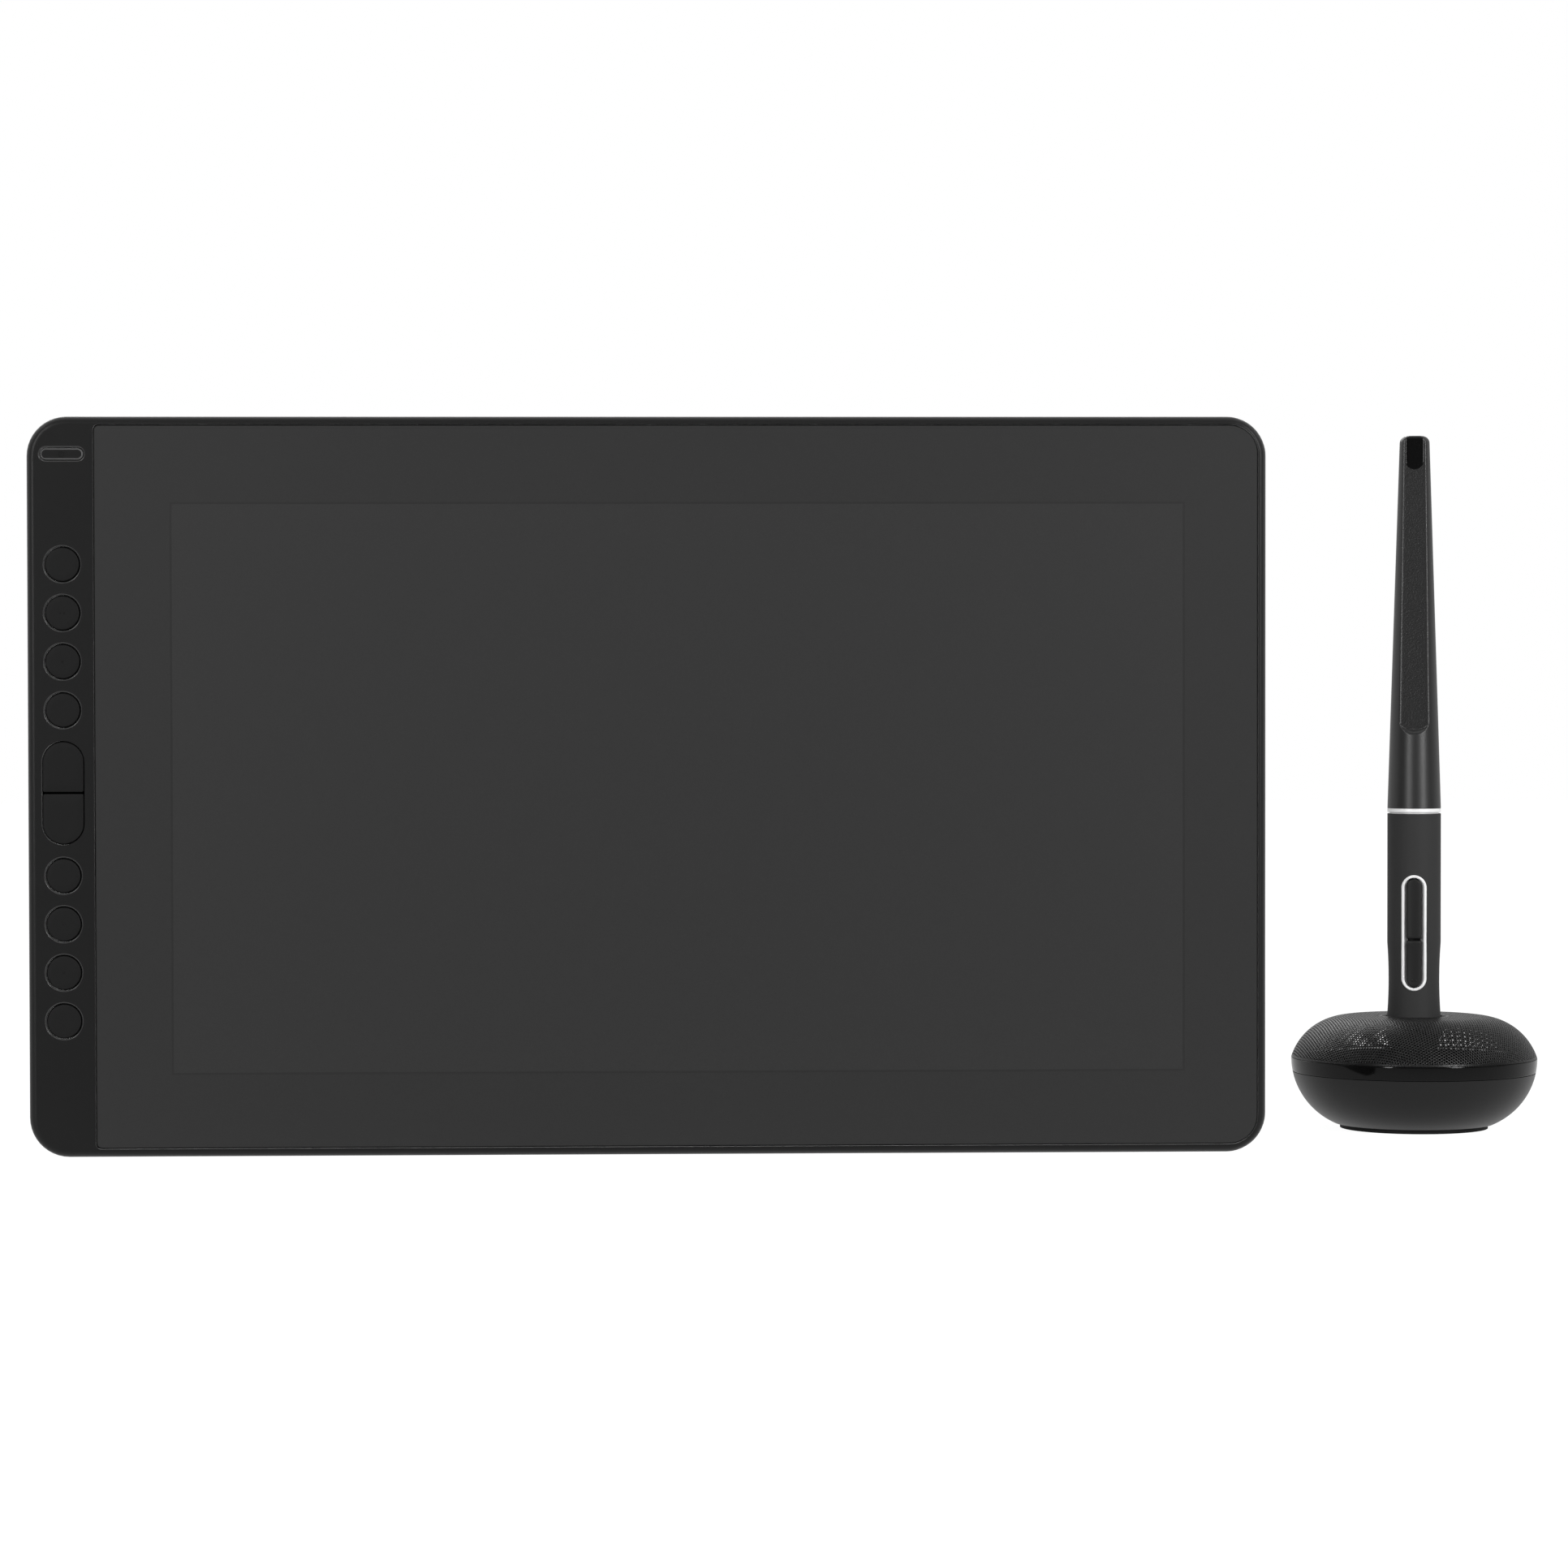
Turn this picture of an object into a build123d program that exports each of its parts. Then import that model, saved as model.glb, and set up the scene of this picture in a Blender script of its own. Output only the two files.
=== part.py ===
from build123d import *
from math import cos, radians, sin, sqrt
import os

os.makedirs("parts", exist_ok=True)

# Pen display with its pen and round pen holder, in millimetres, +Z up.
# The tablet stands on its long lower edge with the screen facing -Y.
# The holder stands beyond its +X side, further back, with the pen upright in it.
# The origin is the centre of the bounding box, on the surface that both stand on.

# Tablet body
tablet_w = 359.5
tablet_h = 214.5
tablet_t = 11.5
corner_r = 11.5
front_edge_r = 2.2
rear_edge_r = 1.7
wall_t = 1.8
split_depth = 5.6
front_plate_t = 2.4
rear_plate_t = 1.5
inner_gap = 0.3
overrun = 1.0

# Screen
active_from_left = 41.6
active_from_right = 24.14
active_from_top = 25.1
active_from_bottom = 24.16
strip_w = 19.5
rim_w = 2.6
glass_t = 1.1
glass_gap = 0.25
glass_right_r = 8.2
glass_left_r = 1.5
glass_ledge_w = 2.2

# Keys
key_r = 4.95
key_gap = 0.23
key_bevel = 0.4
key_from_left = 10.3
key_pitch = 14.05
key_to_pill = 23.95
keys_each_side = 4
key_column_drop = 1.6
key_travel = 0.6
pill_w = 11.9
pill_h = 29.7
pill_split = 0.35
power_w = 12.3
power_h = 3.3
power_from_top = 10.9

# Holder
set_gap = 18.0
set_depth = 72.0
rim_r = 37.6
rim_z = 21.6
foot_r = 22.6
foot_t = 1.4
bowl_arc_r = 22.0
bowl_wall_t = 2.0
band_h = 4.4
dome_top_z = 34.4
dome_flat_r = 20.1
dome_t = 1.0
twist_deg = 25.0
running_gap = 0.35

# Pen
grip_len = 63.9
grip_sink = 1.5
grip_r = 8.17
flare_r = 8.3
waist_r = 7.8
waist_shares = (0.14, 0.38)
neck_len = 0.4
ring_len = 1.25
barrel_len = 114.3
barrel_top_r = 4.5
barrel_wall_t = 1.4
facet_len = 91.7
facet_depth = 1.45
nose_len = 15.5
pen_turn = radians(9.7)
nib_r = 0.8
nib_show = 2.2

# Places that follow from the sizes above
overall_w = tablet_w + set_gap + 2 * rim_r
overall_d = set_depth + rim_r
tablet_x = (tablet_w - overall_w) / 2
stand_x = overall_w / 2 - rim_r
front_y = -overall_d / 2
stand_y = front_y + set_depth
mid_z = tablet_h / 2
glass_w = tablet_w - strip_w - rim_w
glass_h = tablet_h - 2 * rim_w
glass_x = (strip_w - rim_w) / 2
active_w = tablet_w - active_from_left - active_from_right
active_h = tablet_h - active_from_top - active_from_bottom
active_x = (active_from_left - active_from_right) / 2
active_z = (active_from_bottom - active_from_top) / 2
key_x = key_from_left - tablet_w / 2
pill_z = -key_column_drop
power_z = tablet_h / 2 - power_from_top
key_places = [
    (key_x, pill_z + side * (key_to_pill + step * key_pitch))
    for side, steps in ((1, range(keys_each_side - 1, -1, -1)), (-1, range(keys_each_side)))
    for step in steps
]
cavity_w = tablet_w - 2 * wall_t
cavity_h = tablet_h - 2 * wall_t
cavity_r = corner_r - wall_t
stand_axis = Axis((stand_x, stand_y, 0), (0, 0, 1))


def face_plane(depth):
    """Plane square to the view, at a depth behind the tablet's front, centred on the tablet."""
    return Plane(origin=(tablet_x, front_y + depth, mid_z), x_dir=(1, 0, 0), z_dir=(0, -1, 0))


def side_plane(x):
    """Plane square to +X through the tablet, whose x runs up and whose y runs to the front."""
    return Plane(origin=(tablet_x + x, front_y, mid_z), x_dir=(0, 0, 1), z_dir=(1, 0, 0))


def glass_outline(grow):
    """Outline of the cover glass grown all round: tight corners at the key strip, round ones at the right."""
    with BuildSketch() as outline:
        with Locations((glass_x, 0)):
            Rectangle(glass_w + 2 * grow, glass_h + 2 * grow)
        fillet(outline.vertices().group_by(Axis.X)[-1], glass_right_r + grow)
        fillet(outline.vertices().group_by(Axis.X)[0], glass_left_r)
    return outline.sketch


def save(part, name):
    """Label a finished piece and write it to its own file."""
    part.label = name
    export_step(part, "parts/" + name + ".step")


# Front frame: moulded rim, key strip and glass ledge in one shell, with screw bosses behind the ledge.
adhesive_t = 0.3
boss_r = 2.4
boss_inset = 5.2
pilot_r = 1.05
pocket_depth = glass_t + adhesive_t
mid_frame_t = 0.8
mid_frame_depth = 5.4
hole_r = key_r + key_gap
boss_x = tablet_w / 2 - boss_inset
boss_z = tablet_h / 2 - boss_inset
boss_step_x = 2 * boss_x / 3
boss_places = [
    (-boss_x + corner_r, boss_z),
    (-boss_x + boss_step_x, boss_z),
    (boss_x - boss_step_x, boss_z),
    (boss_x - corner_r, boss_z),
    (-boss_x + corner_r, -boss_z),
    (-boss_x + boss_step_x, -boss_z),
    (boss_x - boss_step_x, -boss_z),
    (boss_x - corner_r, -boss_z),
]
pocket_outline = glass_outline(glass_gap)
window_outline = glass_outline(-glass_ledge_w)

with BuildPart() as front_frame:
    with BuildSketch(face_plane(split_depth)):
        RectangleRounded(tablet_w, tablet_h, corner_r)
    extrude(amount=split_depth)
    fillet(front_frame.faces().sort_by(Axis.Y)[0].edges(), front_edge_r)
    with BuildSketch(face_plane(split_depth)):
        RectangleRounded(cavity_w, cavity_h, cavity_r)
    extrude(amount=split_depth - front_plate_t, mode=Mode.SUBTRACT)
    with BuildSketch(face_plane(mid_frame_depth)):
        with Locations(*boss_places):
            Circle(boss_r)
    extrude(amount=mid_frame_depth - front_plate_t)
    with BuildSketch(face_plane(pocket_depth)):
        add(pocket_outline)
    extrude(amount=pocket_depth + overrun, mode=Mode.SUBTRACT)
    with BuildSketch(face_plane(front_plate_t)):
        add(window_outline)
    extrude(amount=front_plate_t, mode=Mode.SUBTRACT)
    with BuildSketch(face_plane(mid_frame_depth)):
        with Locations(*boss_places):
            Circle(pilot_r)
    extrude(amount=mid_frame_depth - front_plate_t, mode=Mode.SUBTRACT)
    with BuildSketch(face_plane(front_plate_t)):
        with Locations(*key_places):
            Circle(hole_r)
        with Locations((key_x, pill_z)):
            SlotOverall(pill_h + 2 * key_gap, pill_w + 2 * key_gap, rotation=90)
        with Locations((key_x, power_z)):
            SlotOverall(power_w + 2 * key_gap, power_h + 2 * key_gap)
    extrude(amount=front_plate_t, mode=Mode.SUBTRACT)
    face_rims = front_frame.faces().filter_by(Axis.Y).sort_by(Axis.Y)[0].inner_wires()
    key_rims = sorted(face_rims, key=lambda rim: rim.length)[:-1]
    chamfer([edge for rim in key_rims for edge in rim.edges()], key_bevel)
save(front_frame.part, "front_frame")

# Cover glass: one etched sheet, flush with the rim, held at its edge by a ring of adhesive.
edge_break = 0.25
pane_outline = glass_outline(0)
ring_inner = glass_outline(-glass_ledge_w)

with BuildPart() as cover_glass:
    with BuildSketch(face_plane(glass_t)):
        add(pane_outline)
    extrude(amount=glass_t)
    chamfer(cover_glass.faces().sort_by(Axis.Y)[0].edges(), edge_break)
save(cover_glass.part, "cover_glass")

with BuildPart() as glass_adhesive:
    with BuildSketch(face_plane(pocket_depth)):
        add(pane_outline)
        add(ring_inner, mode=Mode.SUBTRACT)
    extrude(amount=adhesive_t)
save(glass_adhesive.part, "glass_adhesive")

# Display stack behind the glass: LCD cell, backlight, digitizer board and shield plate, face to face.
lcd_t = 1.3
lcd_side = 5.0
lcd_top = 4.0
lcd_bottom = 8.0
backlight_t = 2.0
backlight_side = 1.5
digitizer_t = 0.6
shield_t = 0.4
board_side = 3.0
lcd_w = active_w + 2 * lcd_side
lcd_h = active_h + lcd_top + lcd_bottom
lcd_z = active_z + (lcd_top - lcd_bottom) / 2
lcd_back = glass_t + lcd_t
backlight_back = lcd_back + backlight_t
digitizer_back = backlight_back + digitizer_t
shield_back = digitizer_back + shield_t

with BuildPart() as lcd_panel:
    with BuildSketch(face_plane(lcd_back)):
        with Locations((active_x, lcd_z)):
            Rectangle(lcd_w, lcd_h)
    extrude(amount=lcd_t)
save(lcd_panel.part, "lcd_panel")

with BuildPart() as backlight_unit:
    with BuildSketch(face_plane(backlight_back)):
        with Locations((active_x, lcd_z)):
            RectangleRounded(lcd_w + 2 * backlight_side, lcd_h, backlight_side)
    extrude(amount=backlight_t)
save(backlight_unit.part, "backlight_unit")

# The digitizer's tail runs through a slot in the shield plate and the mid frame to the main board.
tail_w = 12.0
tail_slot_h = 1.6
tail_t = 0.2
main_board_w = 120.0
main_board_h = 52.0
main_board_left = 60.0
main_board_top = 31.0
board_t = 0.8
main_board_depth = 7.5
board_back = main_board_depth + board_t
main_x = main_board_left + main_board_w / 2 - tablet_w / 2
main_z = tablet_h / 2 - main_board_top - main_board_h / 2
tail_reach = 6.0
main_low = main_z - main_board_h / 2
tail_z = main_low - tail_reach

with BuildPart() as digitizer_board:
    with BuildSketch(face_plane(digitizer_back)):
        with Locations((active_x, active_z)):
            Rectangle(active_w + 2 * board_side, active_h + 2 * board_side)
    extrude(amount=digitizer_t)
save(digitizer_board.part, "digitizer_board")

with BuildPart() as shield_plate:
    with BuildSketch(face_plane(shield_back)):
        with Locations((active_x, active_z)):
            Rectangle(active_w + 2 * board_side, active_h + 2 * board_side)
        with Locations((main_x, tail_z)):
            Rectangle(tail_w + tail_slot_h, tail_slot_h, mode=Mode.SUBTRACT)
    extrude(amount=shield_t)
save(shield_plate.part, "shield_plate")

# Mid frame: pressed plate that the boards stand on, screwed between the front bosses and the rear cover.
post_r = 2.0
post_inset = 4.0
screw_hole_r = 1.2
display_flex_w = 24.0
display_slot_h = 1.6
display_slot_gap = 1.4
display_slot_z = lcd_z + lcd_h / 2 + display_slot_gap + display_slot_h / 2
display_flex_x = main_x + main_board_w / 4
key_slot_w = 1.6
key_board_w = 15.0
key_slot_x = key_x + key_board_w / 2 + key_slot_w / 2
key_tail_w = 10.0
key_tail_z = main_z
mid_frame_back = mid_frame_depth + mid_frame_t
port_board_w = 48.0
port_board_h = 14.0
port_from_boss = 31.6
port_board_x = -boss_x + boss_step_x - port_from_boss
port_board_z = cavity_h / 2 - inner_gap - port_board_h / 2
port_pitch = 22.0
port_w = 8.94
port_h = 3.26
port_len = 7.3
port_shell_t = 0.3
port_gap = 0.25
port_outer_w = port_w + 2 * port_shell_t
port_outer_h = port_h + 2 * port_shell_t
port_top_z = cavity_h / 2
port_places = [(port_board_x + side * port_pitch / 2, port_top_z) for side in (-1, 1)]
post_places = [
    (centre_x + side_x * (board_w / 2 - post_inset), centre_z + side_z * (board_h / 2 - post_inset))
    for centre_x, centre_z, board_w, board_h in (
        (main_x, main_z, main_board_w, main_board_h),
        (port_board_x, port_board_z, port_board_w, port_board_h),
    )
    for side_x in (-1, 1)
    for side_z in (-1, 1)
]

with BuildPart() as mid_frame:
    with BuildSketch(face_plane(mid_frame_back)):
        RectangleRounded(cavity_w - 2 * inner_gap, cavity_h - 2 * inner_gap, cavity_r - inner_gap)
        with Locations(*boss_places):
            Circle(screw_hole_r, mode=Mode.SUBTRACT)
        with Locations((main_x, tail_z)):
            Rectangle(tail_w + tail_slot_h, tail_slot_h, mode=Mode.SUBTRACT)
        with Locations((display_flex_x, display_slot_z)):
            Rectangle(display_flex_w + display_slot_h, display_slot_h, mode=Mode.SUBTRACT)
        with Locations((key_slot_x, key_tail_z)):
            Rectangle(key_slot_w, key_tail_w + key_slot_w, mode=Mode.SUBTRACT)
        with Locations(*port_places):
            Rectangle(port_outer_w + 2 * port_gap, 2 * (port_len + port_gap), mode=Mode.SUBTRACT)
    extrude(amount=mid_frame_t)
    with BuildSketch(face_plane(main_board_depth)):
        with Locations(*post_places):
            Circle(post_r)
    extrude(amount=main_board_depth - mid_frame_back)
save(mid_frame.part, "mid_frame")

# Main board with its chips and connectors on the back.
chip_w = 14.0
chip_t = 1.2
connector_w = 8.0
connector_h = 4.0
coil_w = 6.0

with BuildPart() as main_board:
    with BuildSketch(face_plane(board_back)):
        with Locations((main_x, main_z)):
            Rectangle(main_board_w, main_board_h)
    extrude(amount=board_t)
    with BuildSketch(face_plane(board_back + chip_t)):
        with Locations((main_x, main_z), (main_x - main_board_w / 4, main_z + chip_w / 2)):
            Rectangle(chip_w, chip_w)
        with Locations((main_x + main_board_w / 3, main_z - chip_w / 2)):
            Rectangle(chip_w / 2, chip_w / 2)
        with Locations((main_x - main_board_w / 3, main_z - chip_w)):
            with GridLocations(2 * coil_w, coil_w, 2, 1):
                Rectangle(coil_w, coil_w)
        with Locations((port_board_x, main_z + main_board_h / 2 - connector_h)):
            Rectangle(connector_w, connector_h)
    extrude(amount=chip_t)
save(main_board.part, "main_board")

# Port board at the upper edge, notched round two USB-C sockets that look out through the rear cover.
port_tongue_t = 0.7
port_tongue_len = 5.0
port_depth = main_board_depth + board_t / 2


def port_plane(x, z):
    """Plane square to +Z at a socket's mouth, whose x runs along the edge and whose y runs to the back."""
    return Plane(origin=(tablet_x + x, front_y + port_depth, mid_z + z), x_dir=(1, 0, 0), z_dir=(0, 0, 1))


with BuildPart() as port_board:
    with BuildSketch(face_plane(board_back)):
        with Locations((port_board_x, port_board_z)):
            Rectangle(port_board_w, port_board_h)
        with Locations(*[(x, z - port_len / 2) for x, z in port_places]):
            Rectangle(port_outer_w + 2 * port_gap, port_len + 2 * port_gap, mode=Mode.SUBTRACT)
    extrude(amount=board_t)
    with BuildSketch(face_plane(board_back + chip_t)):
        with Locations((port_board_x, port_board_z - port_board_h / 2 + connector_h)):
            Rectangle(connector_w, connector_h)
    extrude(amount=chip_t)
save(port_board.part, "port_board")

with BuildPart() as usb_c_sockets:
    for place_x, place_z in port_places:
        with BuildSketch(port_plane(place_x, place_z)):
            SlotOverall(port_outer_w, port_outer_h)
        extrude(amount=-port_len)
        with BuildSketch(port_plane(place_x, place_z)):
            SlotOverall(port_w, port_h)
        extrude(amount=port_shell_t - port_len, mode=Mode.SUBTRACT)
        with BuildSketch(port_plane(place_x, place_z - port_len + port_shell_t)):
            Rectangle(port_w - port_h / 2, port_tongue_t)
        extrude(amount=port_tongue_len)
save(usb_c_sockets.part, "usb_c_sockets")

# Key board behind the strip, with a dome switch under each key. Each dome clears the plunger's full travel.
dome_switch_t = 0.45
dome_switch_r = 2.5
press_gap = 0.1
flange_t = 0.8
flange_w = 0.9
plunger_r = 1.5
key_board_front = mid_frame_depth - board_t
dome_front = key_board_front - dome_switch_t
flange_front = front_plate_t + press_gap
plunger_len = dome_front - key_travel - press_gap - flange_front - flange_t
pill_key_z = pill_h / 4
switch_places = key_places + [
    (key_x, pill_z + pill_key_z),
    (key_x, pill_z - pill_key_z),
    (key_x, power_z),
]
key_board_top = power_z + power_h / 2 + flange_w
key_board_low = pill_z - key_to_pill - (keys_each_side - 1) * key_pitch - hole_r

with BuildPart() as key_board:
    with BuildSketch(face_plane(mid_frame_depth)):
        with Locations((key_x, (key_board_top + key_board_low) / 2)):
            Rectangle(key_board_w, key_board_top - key_board_low)
    extrude(amount=board_t)
save(key_board.part, "key_board")

with BuildPart() as dome_switches:
    with BuildSketch(face_plane(key_board_front)):
        with Locations(*switch_places):
            Circle(dome_switch_r)
    extrude(amount=dome_switch_t)
    chamfer(dome_switches.faces().filter_by(Axis.Y).group_by(Axis.Y)[0].edges(), dome_switch_t / 2)
save(dome_switches.part, "dome_switches")

# Flexible tails: thin printed strips bent from one layer to the next.
display_flex_depth = glass_t + lcd_t / 2
display_flex_top = display_slot_z - lcd_z - lcd_h / 2

with BuildPart() as display_flex:
    with BuildSketch(side_plane(display_flex_x - display_flex_w / 2)):
        with BuildLine():
            Polyline(
                (lcd_z + lcd_h / 2, -display_flex_depth),
                (display_slot_z, -display_flex_depth),
                (display_slot_z, -board_back - tail_t),
                (main_z + main_board_h / 2 - connector_h, -board_back - tail_t),
                (main_z + main_board_h / 2 - connector_h, -board_back),
                (display_slot_z - tail_t, -board_back),
                (display_slot_z - tail_t, -display_flex_depth - tail_t),
                (lcd_z + lcd_h / 2, -display_flex_depth - tail_t),
                close=True,
            )
        make_face()
    extrude(amount=display_flex_w)
save(display_flex.part, "display_flex")

with BuildPart() as digitizer_flex:
    with BuildSketch(side_plane(main_x - tail_w / 2)):
        with BuildLine():
            Polyline(
                (tail_z, -digitizer_back),
                (tail_z, -board_back - tail_t),
                (main_low + connector_h, -board_back - tail_t),
                (main_low + connector_h, -board_back),
                (tail_z + tail_t, -board_back),
                (tail_z + tail_t, -digitizer_back),
                close=True,
            )
        make_face()
    extrude(amount=tail_w)
save(digitizer_flex.part, "digitizer_flex")


def key_tail_plane():
    """Plane square to +Z at the key tail, whose x runs along +X and whose y runs to the back."""
    return Plane(
        origin=(tablet_x, front_y, mid_z + key_tail_z - key_tail_w / 2), x_dir=(1, 0, 0), z_dir=(0, 0, 1)
    )


key_tail_start = key_x + key_board_w / 2
key_tail_end = main_x - main_board_w / 2 + connector_h

with BuildPart() as key_flex:
    with BuildSketch(key_tail_plane()):
        with BuildLine():
            Polyline(
                (key_tail_start, key_board_front),
                (key_tail_start + key_slot_w / 2, key_board_front),
                (key_tail_start + key_slot_w / 2, board_back),
                (key_tail_end, board_back),
                (key_tail_end, board_back + tail_t),
                (key_tail_start + key_slot_w / 2 - tail_t, board_back + tail_t),
                (key_tail_start + key_slot_w / 2 - tail_t, key_board_front + tail_t),
                (key_tail_start, key_board_front + tail_t),
                close=True,
            )
        make_face()
    extrude(amount=key_tail_w)
save(key_flex.part, "key_flex")

# Rear cover: shallow tray with screw bosses, recesses for the feet and cut-outs for the two sockets.
foot_w = 42.0
foot_h = 8.0
foot_out = 0.8
foot_in = 0.5
foot_inset_x = 46.0
foot_inset_z = 24.0
head_r = 1.9
head_t = 1.0
head_sink = 0.2
rear_inner = tablet_t - rear_plate_t
foot_places = [
    (side_x * (tablet_w / 2 - foot_inset_x), side_z * (tablet_h / 2 - foot_inset_z))
    for side_x in (-1, 1)
    for side_z in (-1, 1)
]

with BuildPart() as rear_cover:
    with BuildSketch(face_plane(tablet_t)):
        RectangleRounded(tablet_w, tablet_h, corner_r)
    extrude(amount=tablet_t - split_depth)
    fillet(rear_cover.faces().sort_by(Axis.Y)[-1].edges(), rear_edge_r)
    with BuildSketch(face_plane(rear_inner)):
        RectangleRounded(cavity_w, cavity_h, cavity_r)
    extrude(amount=rear_inner - split_depth, mode=Mode.SUBTRACT)
    with BuildSketch(face_plane(rear_inner)):
        with Locations(*boss_places):
            Circle(boss_r)
    extrude(amount=rear_inner - mid_frame_back)
    with BuildSketch(face_plane(tablet_t)):
        with Locations(*boss_places):
            Circle(screw_hole_r)
    extrude(amount=tablet_t - mid_frame_back, mode=Mode.SUBTRACT)
    with BuildSketch(face_plane(tablet_t)):
        with Locations(*boss_places):
            Circle(head_r + port_gap)
    extrude(amount=head_t + head_sink, mode=Mode.SUBTRACT)
    with BuildSketch(face_plane(tablet_t)):
        with Locations(*foot_places):
            SlotOverall(foot_w, foot_h)
    extrude(amount=foot_in, mode=Mode.SUBTRACT)
    for place_x, place_z in port_places:
        with BuildSketch(port_plane(place_x, place_z)):
            SlotOverall(port_outer_w, port_outer_h)
        extrude(amount=wall_t + overrun, mode=Mode.SUBTRACT)
save(rear_cover.part, "rear_cover")

with BuildPart() as rubber_feet:
    with BuildSketch(face_plane(tablet_t + foot_out)):
        with Locations(*foot_places):
            SlotOverall(foot_w, foot_h)
    extrude(amount=foot_out + foot_in)
    fillet(rubber_feet.faces().filter_by(Axis.Y).group_by(Axis.Y)[-1].edges(), foot_out / 2)
save(rubber_feet.part, "rubber_feet")

screw_len = 7.0
screw_r = 1.0
head_back = tablet_t - head_sink

with BuildPart() as cover_screws:
    with BuildSketch(face_plane(head_back)):
        with Locations(*boss_places):
            Circle(head_r)
    extrude(amount=head_t)
    with BuildSketch(face_plane(head_back - head_t)):
        with Locations(*boss_places):
            Circle(screw_r)
    extrude(amount=screw_len)
    with BuildSketch(face_plane(head_back)):
        with Locations(*boss_places):
            RegularPolygon(head_r / 2, 6)
    extrude(amount=head_t / 2, mode=Mode.SUBTRACT)
save(cover_screws.part, "cover_screws")

# Keys: flat caps in the strip, each with a flange behind the plate and a plunger over its switch.
key_edge_r = 0.2

for number, (place_x, place_z) in enumerate(key_places, start=1):
    with BuildPart() as round_key:
        with BuildSketch(face_plane(flange_front + flange_t)):
            with Locations((place_x, place_z)):
                Circle(key_r + flange_w)
        extrude(amount=flange_t)
        with BuildSketch(face_plane(flange_front)):
            with Locations((place_x, place_z)):
                Circle(key_r)
        extrude(amount=flange_front)
        with BuildSketch(face_plane(flange_front + flange_t + plunger_len)):
            with Locations((place_x, place_z)):
                Circle(plunger_r)
        extrude(amount=plunger_len)
        fillet(round_key.faces().sort_by(Axis.Y)[0].edges(), key_edge_r)
    save(round_key.part, "round_key_" + str(number))

for name, side in (("pill_key_upper", 1), ("pill_key_lower", -1)):
    with BuildPart() as pill_key:
        for growth, near, far in (
            (0, 0, flange_front),
            (flange_w, flange_front, flange_front + flange_t),
        ):
            with BuildSketch(face_plane(far)):
                with Locations((key_x, pill_z)):
                    SlotOverall(pill_h + 2 * growth, pill_w + 2 * growth, rotation=90)
                with Locations((key_x, pill_z + side * pill_h / 2)):
                    Rectangle(2 * pill_w, pill_h - pill_split, mode=Mode.INTERSECT)
            extrude(amount=far - near)
        with BuildSketch(face_plane(flange_front + flange_t + plunger_len)):
            with Locations((key_x, pill_z + side * pill_key_z)):
                Circle(plunger_r)
        extrude(amount=plunger_len)
        fillet(pill_key.faces().sort_by(Axis.Y)[0].edges(), key_edge_r)
    save(pill_key.part, name)

with BuildPart() as power_button:
    with BuildSketch(face_plane(flange_front + flange_t)):
        with Locations((key_x, power_z)):
            SlotOverall(power_w + 2 * flange_w, power_h + 2 * flange_w)
    extrude(amount=flange_t)
    with BuildSketch(face_plane(flange_front)):
        with Locations((key_x, power_z)):
            SlotOverall(power_w, power_h)
    extrude(amount=flange_front)
    with BuildSketch(face_plane(flange_front + flange_t + plunger_len)):
        with Locations((key_x, power_z)):
            Circle(plunger_r)
    extrude(amount=plunger_len)
    chamfer(power_button.faces().sort_by(Axis.Y)[0].edges(), 2 * key_edge_r)
save(power_button.part, "power_button")


# Holder. Every profile is drawn as radius and height and turned about the holder's axis.
def radial_plane(angle):
    """Plane through the holder's axis at an angle from +X: x is the radius and y the height."""
    turn = radians(angle)
    return Plane(
        origin=(stand_x, stand_y, 0),
        x_dir=(cos(turn), sin(turn), 0),
        z_dir=(sin(turn), -cos(turn), 0),
    )


def arc_radius(z, arc_r):
    """Radius of the bowl's outer or inner arc at a height."""
    return bowl_centre_r + sqrt(arc_r**2 - (bowl_centre_z - z) ** 2)


bowl_centre_r = rim_r - bowl_arc_r
bowl_centre_z = rim_z
band_low_z = rim_z - band_h
bowl_inner_r = bowl_arc_r - bowl_wall_t
floor_t = 1.8
floor_z = foot_t + floor_t
band_wall_t = 2.8
band_inner_r = rim_r - band_wall_t
neck_r = band_inner_r - running_gap
neck_wall_t = 1.7
neck_drop = 1.9
neck_top_z = rim_z - neck_drop
lug_h = 1.0
lug_rise = 0.8
lug_z = band_low_z + lug_rise
lug_root = 0.6
lug_reach = 3.0
lug_arc = 12.0
lug_slack = 2.0
lug_count = 3

# Foot: rubber disc glued under the bowl.
with BuildPart() as stand_foot:
    with BuildSketch(Plane.XY):
        with Locations((stand_x, stand_y)):
            Circle(foot_r)
    extrude(amount=foot_t)
save(stand_foot.part, "stand_foot")

# Bowl: turned shell on one arc, with a neck that the band turns on and slots for the band's lugs.
bowl_mid_z = (band_low_z + foot_t) / 2

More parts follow.
